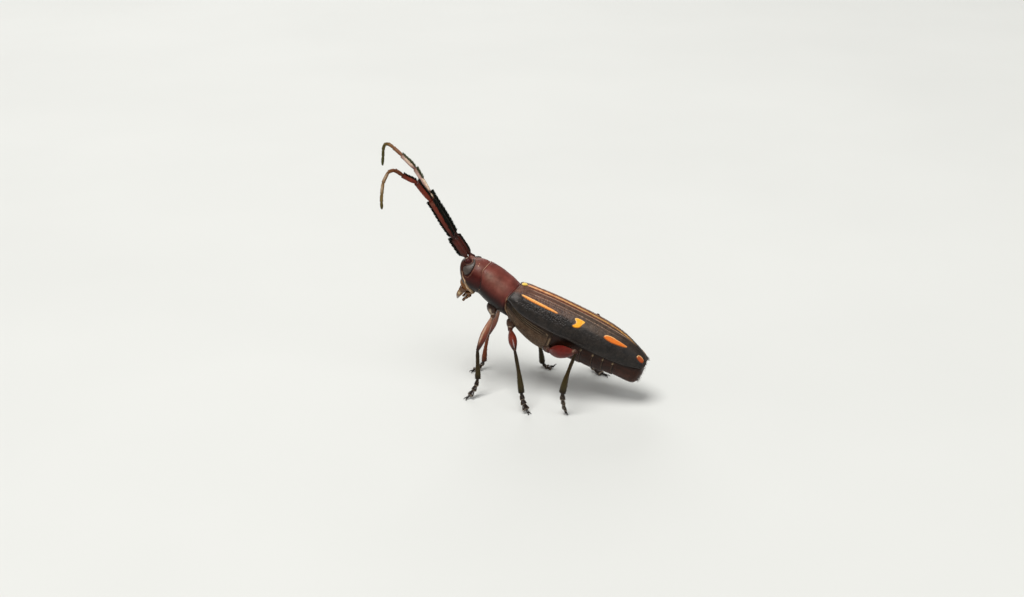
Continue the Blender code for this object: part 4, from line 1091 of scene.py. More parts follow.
def make_head():
    stations = np.concatenate([np.linspace(0, 5, 60), np.linspace(5.06, 6, 14)])
    ss, aa = np.meshgrid(stations, 360 * np.arange(120) / 120, indexing="ij")
    shell = (closed_rings(head_point(ss, aa)), ring_faces(*ss.shape))
    a0, k0, w0, l0 = np.array(MUZZLE).T
    lv = np.linspace(0, 1, 16)
    kk = np.interp(lv, np.linspace(0, 1, 4), k0)
    rings = []
    for k in kk:
        i = np.interp(k, k0[::-1], np.arange(4)[::-1])
        ca, hw, hl = np.interp(i, range(4), a0), np.interp(i, range(4), w0), np.interp(i, range(4), l0)
        x, y = oval(360 * np.arange(60) / 60, hw, hl, 2.3)
        rings.append(np.stack([x, ca - y, np.full(60, k)], -1))
    muzzle = (closed_rings(np.array(rings)), ring_faces(16, 60))
    pieces = [shell, muzzle]
    sx, sa, sk = ANTENNA_SOCKET
    for s in (1, -1):
        pieces.append(ball((sx * s * 1.10, sa + 0.13, sk - 0.10), (0.24, 0.22, 0.20), tilt=-30))
        pieces.append(ball((0.50 * s, -2.62, -1.40), (0.17, 0.46, 0.14), tilt=-18))
    v, nv, f = fused("head", pieces, 0.020, 5)
    ax = np.abs(v[:, 0])
    m = np.stack([ax, v[:, 1], v[:, 2]], -1)
    h = 0.008 * grain(v, 0.5, 5, 2)
    # cheek ridge down to the mouth
    path = [head_point(3.55, 84)] + [head_point(3.40, 92), head_point(3.05, 101), (0.66, -2.62, -1.33), (0.60, -2.38, -1.47), (0.50, -2.24, -1.56)]
    near, dist = near_line(m, path, 0.034)
    thick = near_line(m, path[2:], 0.062)[0] * ease(m[:, 2], -0.95, -1.2)
    near = np.maximum(near, thick)
    h += 0.045 * near + 0.020 * thick
    ridge = np.clip(near * 1.15, 0, 1) * ease(m[:, 1], -3.15, -2.85)
    faint = near_line(m, [head_point(3.75, 70), head_point(3.62, 78), head_point(3.40, 92)], 0.026)[0] * 0.30
    furrow = near_line(m + np.array([0, -0.09, 0]), path[2:], 0.040)[0]
    h -= 0.030 * furrow
    # groove round the eye
    outline = [(r[0], r[1] + 4) for r in EYE_EDGE] + [(r[2] - 0.02, r[3] - 4) for r in EYE_EDGE[::-1]]
    outline.append(outline[0])
    ring = [head_point(np.array(i), np.array(j)) for i, j in outline]
    round_eye, eye_gap = near_line(m, ring, 0.032)
    h -= 0.020 * round_eye
    outer = [head_point(np.array(r[0] - 0.13), np.array(r[1] + 9)) for r in EYE_EDGE]
    pale_arc = near_line(m, outer, 0.018)[0]
    h += 0.012 * pale_arc
    # socket: a sunk ring round the antenna's root
    sock = np.linalg.norm(m - np.array([sx + 0.10, sa + 0.12, sk - 0.06]), axis=1)
    h += 0.012 * bell(sock, 0.27, 0.030) - 0.034 * bell(sock, 0.212, 0.026)
    pale_ring = bell(sock, 0.27, 0.018) * ease(v[:, 1], -3.3, -3.1)
    # mid line over the crown and down the face
    h -= 0.022 * bell(v[:, 0], 0, 0.026) * ease(v[:, 2], -1.2, -0.6)
    dots = grain(v, 0.055, 8)
    h -= 0.003 * ease(dots, 0.10, 0.5)
    out = v + nv * h[:, None]
    # neck_shade: the back of the head under the pronotum's collar, darkened as painted shade
    neck_shade = ease(v[:, 1], -2.02, -1.90)
    height = np.clip((v[:, 2] + 1.6) / 1.95, 0, 1)
    # brow_sheen and the band after it in painted_sheen: a painted sheen over the brow and the upper head
    brow_sheen = bell(v[:, 2], 0.25, 0.20) * ease(v[:, 1], -2.45, -2.95)
    # small: two painted glints on the back of the head
    small = near_line(m, [head_point(1.30, 24), head_point(1.30, 25.5)], 0.018)[0] + near_line(m, [head_point(1.30, 34), head_point(1.30, 36)], 0.022)[0]
    face = ease(v[:, 1], -3.10, -3.27) * ease(v[:, 2], 0.10, -0.15)
    gold = np.clip(ease(v[:, 2], -1.05, -1.30) * ease(m[:, 1], -2.50, -2.66) * (1 - 0.6 * ridge), 0, 1)
    # seam: painted shade in the eye's groove, on the neck, in the socket's groove and in the furrow below the cheek
    # ridge
    marks = {"height": height, "seam": np.clip(0.85 * round_eye + 0.7 * neck_shade + 0.5 * bell(sock, 0.205, 0.03) + 0.6 * furrow, 0, 1),
             "rim": np.clip(ridge + faint + 0.13 * pale_arc + 0.12 * pale_ring + 0.75 * small, 0, 1),
             "painted_sheen": np.clip(0.5 * brow_sheen + 0.30 * bell(v[:, 2], 0.05, 0.20) * ease(v[:, 1], -2.9, -2.3), 0, 1),
             "face": face, "gold": 0.85 * gold, "socket": np.clip(ease(sock, 0.25, 0.19), 0, 1)}
    mesh_object("head_capsule", world(out), f, look_pronotum("head_chitin", (20, 8, 5), (62, 26, 14), (0.62, 0.92), (0.50, 0.24)), ("head",), marks)


make_head()


def make_eye(side, look):
    """A kidney of many small facets, bent round the antenna's socket."""
    o_s, o_a, i_s, i_a = (curve([(i, row[c]) for i, row in enumerate(EYE_EDGE)]) for c in range(4))
    n, m = 90, 40
    u, v = np.linspace(0, len(EYE_EDGE) - 1, n), np.linspace(0, 1, m)
    uu, vv = np.meshgrid(u, v, indexing="ij")
    station = i_s(uu) + (o_s(uu) - i_s(uu)) * vv
    angle = i_a(uu) + (o_a(uu) - i_a(uu)) * vv
    spot, nrm = head_point(station, angle), head_normal(station, angle)
    e = uu / uu.max()
    across = np.clip(1 - (2 * vv - 1) ** 4, 0, 1)
    lengthwise = np.clip(1 - (2 * e - 1) ** 8, 0, 1)
    bulge = 0.085 * np.sqrt(across * lengthwise) - 0.02
    top = spot + nrm * bulge[..., None]
    bottom = spot - nrm * 0.03
    verts = np.concatenate([top.reshape(-1, 3), bottom.reshape(-1, 3)])
    faces = ring_faces(n, m, False, None) + [f[::-1] for f in ring_faces(n, m, False, None, n * m)]
    edge = ([i * m for i in range(n)] + [(n - 1) * m + j for j in range(1, m)]
            + [i * m + m - 1 for i in range(n - 2, -1, -1)] + [j for j in range(m - 2, 0, -1)])
    for i, j in zip(edge, edge[1:] + edge[:1]):
        faces.append([i, j, j + n * m, i + n * m])
    rim = 1 - ease(np.minimum(across, lengthwise), 0.05, 0.45)
    verts[:, 0] *= side
    word = "left" if side > 0 else "right"
    mesh_object("eye_dome_" + word, world(verts), faces, look, ("eye_" + word,),
                {"rim": np.concatenate([rim.ravel(), rim.ravel()])})


eye_look = look_eye()
for s in (1, -1):
    make_eye(s, eye_look)


# ------------------------------------------------------------------ mouth
def from_body(points):
    return world(np.array(points, float))


def make_mouth():
    look = look_mouth()

    def lip(u):
        w = 0.25 * round_ends(u, 0.10, 0.35) * (1 - 0.30 * u)
        return w, 0.10 * round_ends(u, 0.15, 0.3)

    t = tube(from_body([(0, -3.00, -1.62), (0, -3.07, -1.95), (0, -3.05, -2.40)]), 60, 40, lip, hint=(0, -1, 0.3),
             relief=lambda u, f, n: -0.02 * bell(u, 0.34, 0.035) + 0.004 * np.sin(u * 60))
    # pale: a painted highlight on the upper lip
    v, f, k = tube_part(t, pale=0.85 * bell(t["u"], 0.45, 0.10) * bell(t["phi"], 0.9, 0.6))
    mesh_object("upper_lip", v, f, look, ("labrum",), k)
    for side, word in ((1, "left"), (-1, "right")):
        def jaw(u):
            w = round_ends(u, 0.08, 0.05) * (0.235 - 0.185 * u**0.9)
            return w * 0.62, w * 1.05

        t = tube(from_body([(0.44 * side, -2.84, -1.55), (0.45 * side, -2.93, -1.92), (0.38 * side, -2.98, -2.18),
                            (0.13 * side, -3.03, -2.53)]), 80, 40, jaw,
                 relief=lambda u, f, n: -0.018 * bell(u, 0.30, 0.03) + 0.02 * bell(np.sin(f), 1, 0.4) * bell(u, 0.6, 0.2))
        # pale: a painted highlight on one face of each jaw
        v, f, k = tube_part(t, pale=0.60 * bell(t["u"], 0.40, 0.08) * bell(np.cos(t["phi"] - (0.2 if side > 0 else 2.9)), 1, 0.10),
                            dark=0.85 * ease(t["u"], 0.56, 0.86))
        mesh_object("jaw_" + word, v, f, look, ("mandible_" + word,), k)
        parts = []
        joints = [(0.26 * side, -2.44, -1.60), (0.30 * side, -2.36, -1.84), (0.30 * side, -2.47, -2.05),
                  (0.27 * side, -2.60, -2.24), (0.22 * side, -2.66, -2.46)]
        for i, (p0, p1) in enumerate(zip(joints, joints[1:])):
            def bead(u, i=i):
                w = round_ends(u, 0.22, 0.25) * (0.115 - 0.012 * i)
                return w, w
            t = tube(from_body([p0, p1]), 24, 24, bead)
            v, f, k = tube_part(t, pale=0.4 * bell(t["u"], 0.9, 0.1))
            parts.append((v, f, k))
        # the lower stem that carries the feeler
        def stem(u):
            w = round_ends(u, 0.2, 0.2)
            return 0.17 * w, 0.11 * w
        t = tube(from_body([(0.30 * side, -2.22, -1.52), (0.30 * side, -2.42, -1.74), (0.24 * side, -2.66, -1.86)]), 30, 28, stem)
        parts.append(tube_part(t, pale=0 * t["u"]))
        # a short inner feeler
        for p0, p1, w0 in (((0.12 * side, -2.62, -1.86), (0.13 * side, -2.70, -2.08), 0.08), ((0.13 * side, -2.70, -2.08), (0.11 * side, -2.78, -2.28), 0.07)):
            t = tube(from_body([p0, p1]), 20, 20, lambda u, w0=w0: (w0 * round_ends(u, 0.25, 0.3),) * 2)
            parts.append(tube_part(t, pale=0 * t["u"]))
        v, f, k = join_parts(parts)
        mesh_object("feeler_" + word, v, f, look, ("palp_" + word,), k)


make_mouth()


# ------------------------------------------------------------------ scutellum
def make_scutellum():
    n, m = 30, 48
    tt, aa = np.meshgrid(np.radians(np.linspace(3, 177, n)), 2 * np.pi * np.arange(m) / m, indexing="ij")
    e = np.stack([np.sin(tt) * np.cos(aa), np.sin(tt) * np.sin(aa), np.cos(tt)], -1)
    p = np.stack([e[..., 0] * (0.16 - 0.07 * e[..., 1]), 0.19 + e[..., 1] * 0.16,
                  0.150 + e[..., 2] * 0.070 + e[..., 1] * 0.030], -1)
    p += e * (0.006 * grain(p, 0.05, 2))[..., None]
    mesh_object("scutellum_plate", world(closed_rings(p)), ring_faces(n, m), look_scutellum(), ("scutellum",),
                {"height": with_ends(e[..., 2] * 0.5 + 0.5)})


make_scutellum()


# ------------------------------------------------------------------ antennae
def heading(h, r):
    h, r = math.radians(h), math.radians(r)
    return np.array([math.cos(r) * math.sin(h), -math.cos(r) * math.cos(h), math.sin(r)])


def rough_skin(amount, lumps=16.0):
    return lambda u, f, n: amount * grain(np.stack([u * lumps, np.cos(f) * 2, np.sin(f) * 2], -1), 1.0, 3)


def facing(t, way):
    """How far each point of a tube looks along a direction, -1 to 1."""
    way = np.array(way, float)
    return t["out"] @ (way / np.linalg.norm(way))


def make_antenna(side, joints):
    word = "left" if side > 0 else "right"
    near = side > 0
    j = [np.array(p, float) for p in joints]
    scape_stops = [(0.0, (44, 12, 8)), (0.2, (66, 22, 13)), (0.8, (78, 26, 15)), (1.0, (36, 12, 6))]
    third_stops = [(0.0, (56, 18, 10)), (0.2, (92, 34, 20)), (0.8, (112, 42, 24)), (1.0, (96, 36, 18))]
    fourth_stops = ([(0.0, (104, 36, 19)), (0.5, (122, 42, 22)), (0.9, (104, 36, 16)), (1.0, (70, 28, 12))] if near else
                    [(0.0, (104, 68, 58)), (0.3, (176, 140, 130)), (0.8, (188, 154, 142)), (1.0, (126, 88, 70))])
    tip_stops = ([(0.0, (96, 44, 20)), (0.20, (104, 58, 28)), (0.45, (124, 88, 46)), (0.75, (126, 104, 58)), (1.0, (62, 60, 16))] if near else
                 [(0.0, (134, 88, 64)), (0.25, (122, 84, 46)), (0.45, (92, 78, 34)), (1.0, (62, 66, 22))])
    looks = {"scape": look_limb(f"scape_chitin_{word}", scape_stops, 0.36, 0.16),
             "third": look_limb(f"third_chitin_{word}", third_stops, 0.40, 0.12),
             "fourth": look_limb(f"fourth_chitin_{word}", fourth_stops, 0.42, 0.10),
             "tip": look_limb(f"tip_chitin_{word}", tip_stops, 0.46, 0.08)}

    def segment(p0, p1, wide, base=0.72, back_off=0.045, stop=0.0, sag=0.0, rows=90, around=36, end=0.035, begin=0.05):
        e = (p1 - p0) / np.linalg.norm(p1 - p0)

        def w(u):
            v = wide * (base + (0.94 - base) * ease(u, 0.02, 0.35) + 0.10 * ease(u, 0.75, 0.97)) * round_ends(u, begin, end)
            return v * 0.94, v * 1.04

        bend = np.cross(np.cross(e, (0, 0, 1)), e)
        bend = bend / max(np.linalg.norm(bend), 1e-6) * sag
        return tube([p0 - e * back_off, p0 * 0.62 + p1 * 0.38 + bend, p0 * 0.3 + p1 * 0.7 + bend, p1 - e * stop], rows, around, w,
                    relief=rough_skin(0.005, 12 * np.linalg.norm(p1 - p0)))

    # scape, its knob in the head's socket and the small ring joint at its end
    way = (j[1] - j[0]) / np.linalg.norm(j[1] - j[0])

    def scape(u):
        w = 0.125 + 0.070 * ease(u, 0.16, 0.40) + 0.012 * ease(u, 0.6, 0.9) - 0.035 * ease(u, 0.90, 1.0)
        w = w - 0.030 * bell(u, 0.175, 0.03)
        w = w * round_ends(u, 0.09, 0.05)
        return w * 0.92, w * 1.03

    t = scape_tube = tube([j[0] - way * 0.16, j[0] + way * 0.35, j[0] + way * 0.8, j[1] - way * 0.02], 120, 48, scape, relief=rough_skin(0.006))
    # pale: a painted highlight on the scape's base, on its upper outer side
    part = tube_part(t, pale=0.75 * bell(t["u"], 0.125, 0.022) * bell(facing(t, (side, -0.2, 0.5)), 1, 0.35), dark=0.7 * bell(t["u"], 0.18, 0.02))
    ring = tube([j[1] - way * 0.08, j[1] + way * 0.14], 24, 36, lambda u: (0.108 * round_ends(u, 0.25, 0.25),) * 2)
    v, f, kk = join_parts([part, tube_part(ring, pale=0 * ring["u"], dark=0.60 + 0 * ring["u"])])
    mesh_object(f"antenna_{word}_scape_shell", v, f, looks["scape"], (f"antenna_{word}_scape",), kk)

    # third joint: long, straight, widest at its end
    t = third_tube = segment(j[1] + way * 0.10, j[2], 0.160, 0.62, 0.03, rows=160, around=44, end=0.02, begin=0.02)
    bare = (0.05 if near else 0.9) * bell(t["u"], 0.925, 0.045) * ease(facing(t, (side, 0, 0.3) if near else (0.8, 0.2, 0.5)), 0.1, 0.7)
    v, f, kk = tube_part(t, pale=bare, dark=0.5 * ease(t["u"], 0.985, 1.0))
    mesh_object(f"antenna_{word}_third_shell", v, f, looks["third"], (f"antenna_{word}_third",), kk)

    # fourth and fifth joints
    parts, fourth_tubes = [], []
    for i, wide in ((2, 0.150 if near else 0.146), (3, 0.138 if near else 0.140)):
        t = segment(j[i], j[i + 1], wide, 0.70, sag=-0.02 if near else 0.0)
        fourth_tubes.append(t)
        # highlight_streak: painted highlights along the far antenna's fourth and fifth joints; none on the near antenna
        if near:
            highlight_streak = 0 * t["u"]
        elif i == 2:
            highlight_streak = 0.95 * bell(facing(t, (0.45, 0.50, 0.75)), 1, 0.14) * ease(t["u"], 0.05, 0.12) * ease(t["u"], 0.62, 0.54)
        else:
            highlight_streak = 0.65 * bell(facing(t, (0.8, -0.1, 0.6)), 1, 0.16) * ease(t["u"], 0.10, 0.3) * ease(t["u"], 0.9, 0.6)
        parts.append(tube_part(t, pale=highlight_streak, dark=0.5 * ease(t["u"], 0.97, 1.0)))
    v, f, kk = join_parts(parts)
    mesh_object(f"antenna_{word}_fourth_shell", v, f, looks["fourth"], (f"antenna_{word}_fourth",), kk)

    # the drooping end: six slender joints
    tip_tubes = []
    for node, first, widths in (("bend", 4, (0.112, 0.100, 0.094)), ("tip", 7, (0.094, 0.090, 0.094))):
        parts = []
        for i, wide in enumerate(widths):
            last = first + i == 9
            t = segment(j[first + i], j[first + i + 1], wide, 0.74, 0.03, rows=56, around=30, sag=0.012, begin=0.08,
                        end=0.55 if last else 0.06)
            tip_tubes.append(t)
            # light: a painted highlight on the near antenna's eighth and ninth joints
            light = (0.55 if (near and first + i in (6, 7)) else 0.0) * bell(facing(t, (side, 0, 0.2)), 1, 0.22) * bell(t["u"], 0.5, 0.35)
            part = tube_part(t, pale=light + 0 * t["u"], dark=0.45 * ease(t["u"], 0.93, 1.0) * (not last))
            part[2]["along"] = (first - 4 + i + part[2]["along"]) / 6.0
            parts.append(part)
        v, f, kk = join_parts(parts)
        mesh_object(f"antenna_{word}_{node}_shell", v, f, looks["tip"], (f"antenna_{word}_{node}",), kk)
    return dict(scape=scape_tube, third=third_tube, fourth=fourth_tubes, tips=tip_tubes)


antenna_left = make_antenna(1, ANTENNA_LEFT)
antenna_right = make_antenna(-1, ANTENNA_RIGHT)


# ------------------------------------------------------------------ legs
def claw(base, way, down, length, side):
    """One curved claw as a tapering tube."""
    out = np.cross(way, down) * side
    pts = [base, base + way * length * 0.34 + out * length * 0.34 - down * length * 0.10,
           base + way * length * 0.72 + out * length * 0.58 + down * length * 0.05,
           base + way * length * 0.84 + out * length * 0.62 + down * length * 0.34]
    t = tube(pts, 26, 14, lambda u: ((0.040 * (1 - 0.85 * u)) * round_ends(u, 0.08, 0.05),) * 2)
    return tube_part(t, pale=0 * t["u"], dark=0.3 + 0.5 * t["u"])


# how far the toes sit from the solids' own
TOE = {"front_left": (0.32, 0.16, 0.0), "front_right": (0.26, 0.04, 0.0), "middle_left": (0.04, 0.02, 0.0),
       "middle_right": (0.30, -0.06, 0.0), "hind_right": (0.40, 0.22, 0.0)}
# how far knees and ankles sit from the solids' own, and the thighs' half thickness
SETTLE = {"front_right": ((0.000, -0.145, 0.030), (0.000, -0.070, -0.080)), "hind_left": ((0.000, -0.090, 0.110), (0, 0, 0)),
          "hind_right": ((0, 0, 0), (0.160, -0.040, -0.180))}
THICK = {"front": 0.222, "middle": 0.275, "hind": 0.355}


def make_leg(name, leg, looks):
    side = 1 if "left" in name else -1
    cx, ca, ck, ch = leg["coxa"]
    root, hip = world(np.array([cx, ca, ck])), world(np.array(leg["hip"]))
    e = (hip - root) / np.linalg.norm(hip - root)
    reach = np.linalg.norm(hip - root)

    def coxa(u):
        w = ch * (0.90 + 0.08 * bell(u, 0.35, 0.25) - 0.42 * ease(u, 0.50, 1.0)) * round_ends(u, 0.35, 0.2)
        return w * 0.92, w

    t = tube([root - e * 0.28, root, (root + hip) / 2, hip + e * 0.06], 60, 44, coxa,
             relief=lambda u, f, n: 0.010 * grain(np.stack([u * 6, np.cos(f) * 2, np.sin(f) * 2], -1), 1.0, 5)
             - 0.02 * bell(u, 0.80, 0.03))
    # highlight_streak: a painted highlight down the outer side of the front and middle hips
    highlight_streak = 0.0 if name.startswith("hind") else 0.60 * bell(facing(t, (side * 0.95, -0.25, 0.15)), 1, 0.045) * ease(t["u"], 0.45, 0.60) * ease(t["u"], 0.92, 0.80)
    v, f, k = tube_part(t, pale=np.maximum(highlight_streak, 0.55 * bell(t["u"], 0.84, 0.035) * ease(facing(t, (side, 0, 0)), 0.3, 0.9)),
                        dark=0.5 * bell(t["u"], 0.78, 0.022))
    mesh_object(name + "_hip_shell", v, f, looks["coxa_hind" if name.startswith("hind") else "coxa"], (name + "_coxa",), k)

    length, h, r, thick = leg["femur"]
    knee = hip + heading(h, r) * length
    length, h, r = leg["tibia"]
    ankle = knee + heading(h, r) * length
    knee_by, ankle_by = SETTLE.get(name, ((0, 0, 0), (0, 0, 0)))
    knee, ankle = knee + knee_by, ankle + ankle_by
    way = (knee - hip) / np.linalg.norm(knee - hip)
    length = np.linalg.norm(knee - hip)
    thick = THICK[name.split("_")[0]]
    hind = name.startswith("hind")
    swell = 0.46 if hind else 0.50
    lean = -0.015 if hind else 0.02

    def femur(u):
        w = 0.095 + (thick - 0.095) * np.sin(np.pi * np.clip((u - 0.02) / 0.98, 0, 1) ** (0.72 if hind else 1.02)) ** 1.25
        w = np.maximum(w, (0.158 if hind else 0.118) * ease(u, 0.70, 0.92))
        w = w * round_ends(u, 0.05, 0.075)
        return w * 0.88, w * 1.02

    bow = np.array([0, 0, 1.0]) - way * way[2]
    t = femur_tube = tube([hip + way * 0.03, hip + way * length * 0.35 + bow * lean, hip + way * length * 0.7 + bow * lean, knee + way * 0.07], 150, 52, femur,
                          relief=lambda u, f, n: rough_skin(0.004)(u, f, n) - (0.006 if hind else 0.012) * bell(u, 0.945, 0.014))
    outer = facing(t, (side, 0, 0.4))
    upper = facing(t, (0, 0, 1.0))
    # pale: painted highlights near the knee of the hind and middle thighs and in a strip along the front thighs, with a
    # pale mark at the front thighs' root
    if hind:
        pale = 0.32 * bell(t["u"], 0.92, 0.035) * bell(upper, 0.65, 0.4)
    elif name.startswith("middle"):
        pale = 0.85 * bell(t["u"], 0.965, 0.022) * ease(outer, 0.75, 0.95)
    else:
        pale = (0.30 * bell(t["u"], 0.05, 0.04) * ease(outer, 0.3, 0.9)
                + 0.50 * bell(facing(t, (side * 0.86, -0.20, 0.42)), 1, 0.06) * ease(t["u"], 0.20, 0.38) * ease(t["u"], 0.90, 0.66))
    v, f, k = tube_part(t, pale=np.clip(pale, 0, 1), dark=(0.25 * ease(t["u"], 0.90, 0.99) if hind else 0.55 * bell(t["u"], 0.945, 0.012)))
    small = tube([hip - way * 0.12, hip + way * 0.16], 26, 34, lambda u: (0.135 * round_ends(u, 0.30, 0.30),) * 2)
    v2, f2, k2 = tube_part(small, pale=0 * small["u"], dark=0.25 + 0 * small["u"])
    k2["along"] = k2["along"] * 0.05
    v, f, k = join_parts([(v, f, k), (v2, f2, k2)])
    mesh_object(name + "_femur_shell", v, f, looks["femur_" + name.split("_")[0]], (name + "_femur",), k)

    tway = (ankle - knee) / np.linalg.norm(ankle - knee)
    length = np.linalg.norm(ankle - knee)
    fx, fy = leg["foot"]
    club = {"front": 0.150, "middle": 0.165, "hind": 0.190}[name.split("_")[0]]

    def tibia(u):
        w = 0.082 + 0.020 * ease(u, 0.05, 0.25) + (club - 0.102) * ease(u, 0.42, 0.88) - 0.02 * ease(u, 0.97, 1.0)
        w = w * round_ends(u, 0.05, 0.03)
        return w * 1.04, w * 0.94

    outward = np.array([tway[0], tway[1], 0])
    outward = outward / max(np.linalg.norm(outward), 1e-6)
    curve_out = outward * 0.035 * length
    t = tibia_tube = tube([knee - tway * 0.02, knee + tway * length * 0.25 + curve_out * 0.8, knee + tway * length * 0.6 + curve_out, ankle], 150, 44, tibia,
                          relief=lambda u, f, n: rough_skin(0.006, 26)(u, f, n) + 0.010 * np.cos(f * 3) * ease(u, 0.2, 0.5)
                          - 0.016 * bell(u, 0.66, 0.02) * bell(np.cos(f), -1, 0.5))
    parts = [tube_part(t, pale=0 * t["u"], dark=0.4 * ease(t["u"], 0.93, 0.98))]
    foot = np.array([fx, fy, 0.0])
    lead = foot - ankle
    lead[2] = 0
    lead = lead / max(np.linalg.norm(lead), 1e-6)
    for s in (1, -1):
        base = ankle - tway * 0.06 + np.cross(tway, lead) * 0.09 * s
        spur = tube([base, base + tway * 0.10 + lead * 0.03, base + tway * 0.17 + lead * 0.05], 14, 10,
                    lambda u: ((0.022 * (1 - 0.85 * u)) * round_ends(u, 0.1, 0.1),) * 2)
        parts.append(tube_part(spur, pale=0 * spur["u"], dark=0.3 + 0 * spur["u"]))
    v, f, k = join_parts(parts)
    mesh_object(name + "_tibia_shell", v, f, looks["tibia_" + ("front_right" if name == "front_right" else "all")], (name + "_tibia",), k)

    # foot: three broad joints, the third split in two lobes, a slender claw joint and two claws
    tip = np.array([fx, fy, 0.085]) + lead * 0.10 + np.array(TOE.get(name, (0, 0, 0)))
    if ankle[2] > 0.45:
        over = np.array([tip[0] - ankle[0], tip[1] - ankle[1], 0.0])
        drop = np.array([0, 0, ankle[2] - 0.085])
        first, second, third = ((0.02, 0.40), (0.12, 0.78), (0.55, 0.96)) if name == "hind_right" else ((0.13, 0.30), (0.38, 0.62), (0.70, 0.88))
        line = [ankle - tway * 0.05, ankle + over * first[0] - drop * first[1], ankle + over * second[0] - drop * second[1],
                ankle + over * third[0] - drop * third[1], tip]
    else:
        line = [ankle - tway * 0.03, ankle + lead * 0.16 - np.array([0, 0, ankle[2] * 0.50]), np.array([*(ankle * 0.5 + tip * 0.5)[:2], 0.11]),
                np.array([*(ankle * 0.2 + tip * 0.8)[:2], 0.10]), tip]
    c, total = dense_path(line, 80)
    parts, pads = [], []
    flat = hind or name.startswith("middle")
    for i, (s0, s1) in enumerate(((0.0, 0.36), (0.30, 0.58), (0.52, 0.84), (0.60, 1.0))):
        i0, i1 = int(s0 * 79), int(s1 * 79)
        seg = c[np.linspace(i0, i1, 5).astype(int)]
        if i < 3:
            def joint(u, i=i):
                w = (0.090, 0.108, 0.124)[i] + (0.058, 0.078, 0.098)[i] * ease(u, 0.05, 0.75)
                w = w * round_ends(u, 0.12, 0.22)
                return w * 1.05, w * (0.66, 0.58, 0.46)[i]
            notch = 0.05 if i < 2 else 0.09
            lobes = lambda u, f, n, notch=notch: rough_skin(0.004, 8)(u, f, n) - notch * ease(u, 0.72, 1.0) * bell(np.cos(f), 0, 0.45)
        else:
            def joint(u):
                w = (0.040 + 0.030 * ease(u, 0.35, 0.95)) * round_ends(u, 0.08, 0.10)
                return w, w
            lobes = rough_skin(0.003, 8)
            seg = seg + np.array([0, 0, 0.055])[None] * np.linspace(1, 0, 5)[:, None]
        t = tube(seg, 44, 36, joint, relief=lobes)
        p = t["p"]
        if name == "middle_right":
            p[..., 2] += 0.10 * ease(t["u"], 0.0, 1.0) * (i == 3)
        p[..., 2] = np.maximum(p[..., 2], 0.004)
        parts.append(tube_part(t, pale=(0.30 * bell(t["u"], 0.86, 0.06) if i < 3 else 0 * t["u"]), dark=0.35 * bell(t["u"], 0.0, 0.15)))
        pads.append(t)
    e = c[-1] - c[-4]
    e = e / np.linalg.norm(e)
    down = np.array([0, 0, -1.0]) + e * e[2]
    down = down / np.linalg.norm(down)
    for s in (1, -1):
        at = c[-1] - e * 0.04
        part = claw(at, e, down, 0.20, s)
        if name == "middle_right":
            part = claw(at + np.array([0, 0, 0.10]), e * 0.6 + np.array([0, 0, 0.8]), down, 0.30, s)
        part[0][:, 2] = np.maximum(part[0][:, 2], 0.003)
        parts.append(part)
    v, f, k = join_parts(parts)
    mesh_object(name + "_foot_shell", v, f, looks["foot"], (name + "_tarsus",), k)
    return dict(femur=femur_tube, tibia=tibia_tube, pads=pads)


leg_looks = {
    "coxa": look_limb("hip_chitin", [(0.0, (32, 20, 12)), (0.6, (62, 38, 24)), (1.0, (88, 56, 34))], 0.28, 0.40),
    "coxa_hind": look_limb("hip_chitin_hind", [(0.0, (60, 42, 34)), (0.6, (70, 48, 38)), (1.0, (84, 56, 44))], 0.40, 0.15),
    "femur_front": look_limb("femur_chitin_front", [(0.0, (96, 60, 40)), (0.16, (164, 118, 94)), (0.35, (146, 86, 64)), (0.65, (114, 50, 34)),
                                                    (0.90, (54, 22, 9)), (1.0, (46, 26, 10))], 0.28, 0.35),
    "femur_middle": look_limb("femur_chitin_middle", [(0.0, (66, 30, 20)), (0.15, (88, 40, 28)), (0.55, (110, 42, 30)), (0.80, (84, 30, 20)),
                                                      (0.93, (50, 20, 12)), (1.0, (70, 40, 24))], 0.27, 0.35),
    "femur_hind": look_limb("femur_chitin_hind", [(0.0, (84, 50, 42)), (0.10, (94, 38, 32)), (0.5, (100, 26, 20)), (0.84, (96, 32, 24)),
                                                  (0.93, (76, 30, 20)), (1.0, (60, 30, 18))], 0.36, 0.14),
    "tibia_all": look_limb("tibia_chitin", [(0.0, (24, 16, 5)), (0.10, (34, 24, 6)), (0.55, (48, 36, 9)), (0.80, (56, 48, 20)), (1.0, (20, 14, 5))], 0.40, 0.12),
    "tibia_front_right": look_limb("tibia_chitin_amber", [(0.0, (70, 30, 10)), (0.3, (134, 62, 20)), (0.8, (122, 56, 18)), (1.0, (48, 24, 10))], 0.34, 0.3),
    "foot": look_limb("foot_chitin", [(0.0, (40, 26, 16)), (0.5, (30, 19, 12)), (1.0, (18, 11, 8))], 0.30, 0.35),
}
legs = {name: make_leg(name, leg, leg_looks) for name, leg in LEGS.items()}


# ------------------------------------------------------------------ hairs
def on_tube(t, count, u_range, phi_test=None, dice=rng):
    """Random roots on a tube: their points, outward directions, directions along, and places on its unwrap."""
    n, m = t["u"].shape
    got = []
    u = t["u"][:, 0]
    tries = 0
    while len(got) < count and tries < 60:
        tries += 1
        for _ in range(count):
            uu = dice.uniform(*u_range)
            ph = dice.uniform(0, 2 * np.pi)
            if phi_test is not None and dice.uniform() > phi_test(uu, ph):
                continue
            got.append((uu, ph))
            if len(got) >= count:
                break
    got = np.array(got)
    rows = np.clip(np.searchsorted(u, got[:, 0]), 0, n - 1)
    cols = (got[:, 1] / (2 * np.pi) * m).astype(int) % m
    return (t["p"][rows, cols], t["out"][rows, cols], t["way"][rows],
            np.stack([got[:, 0], got[:, 1] / (2 * np.pi)], 1), got)


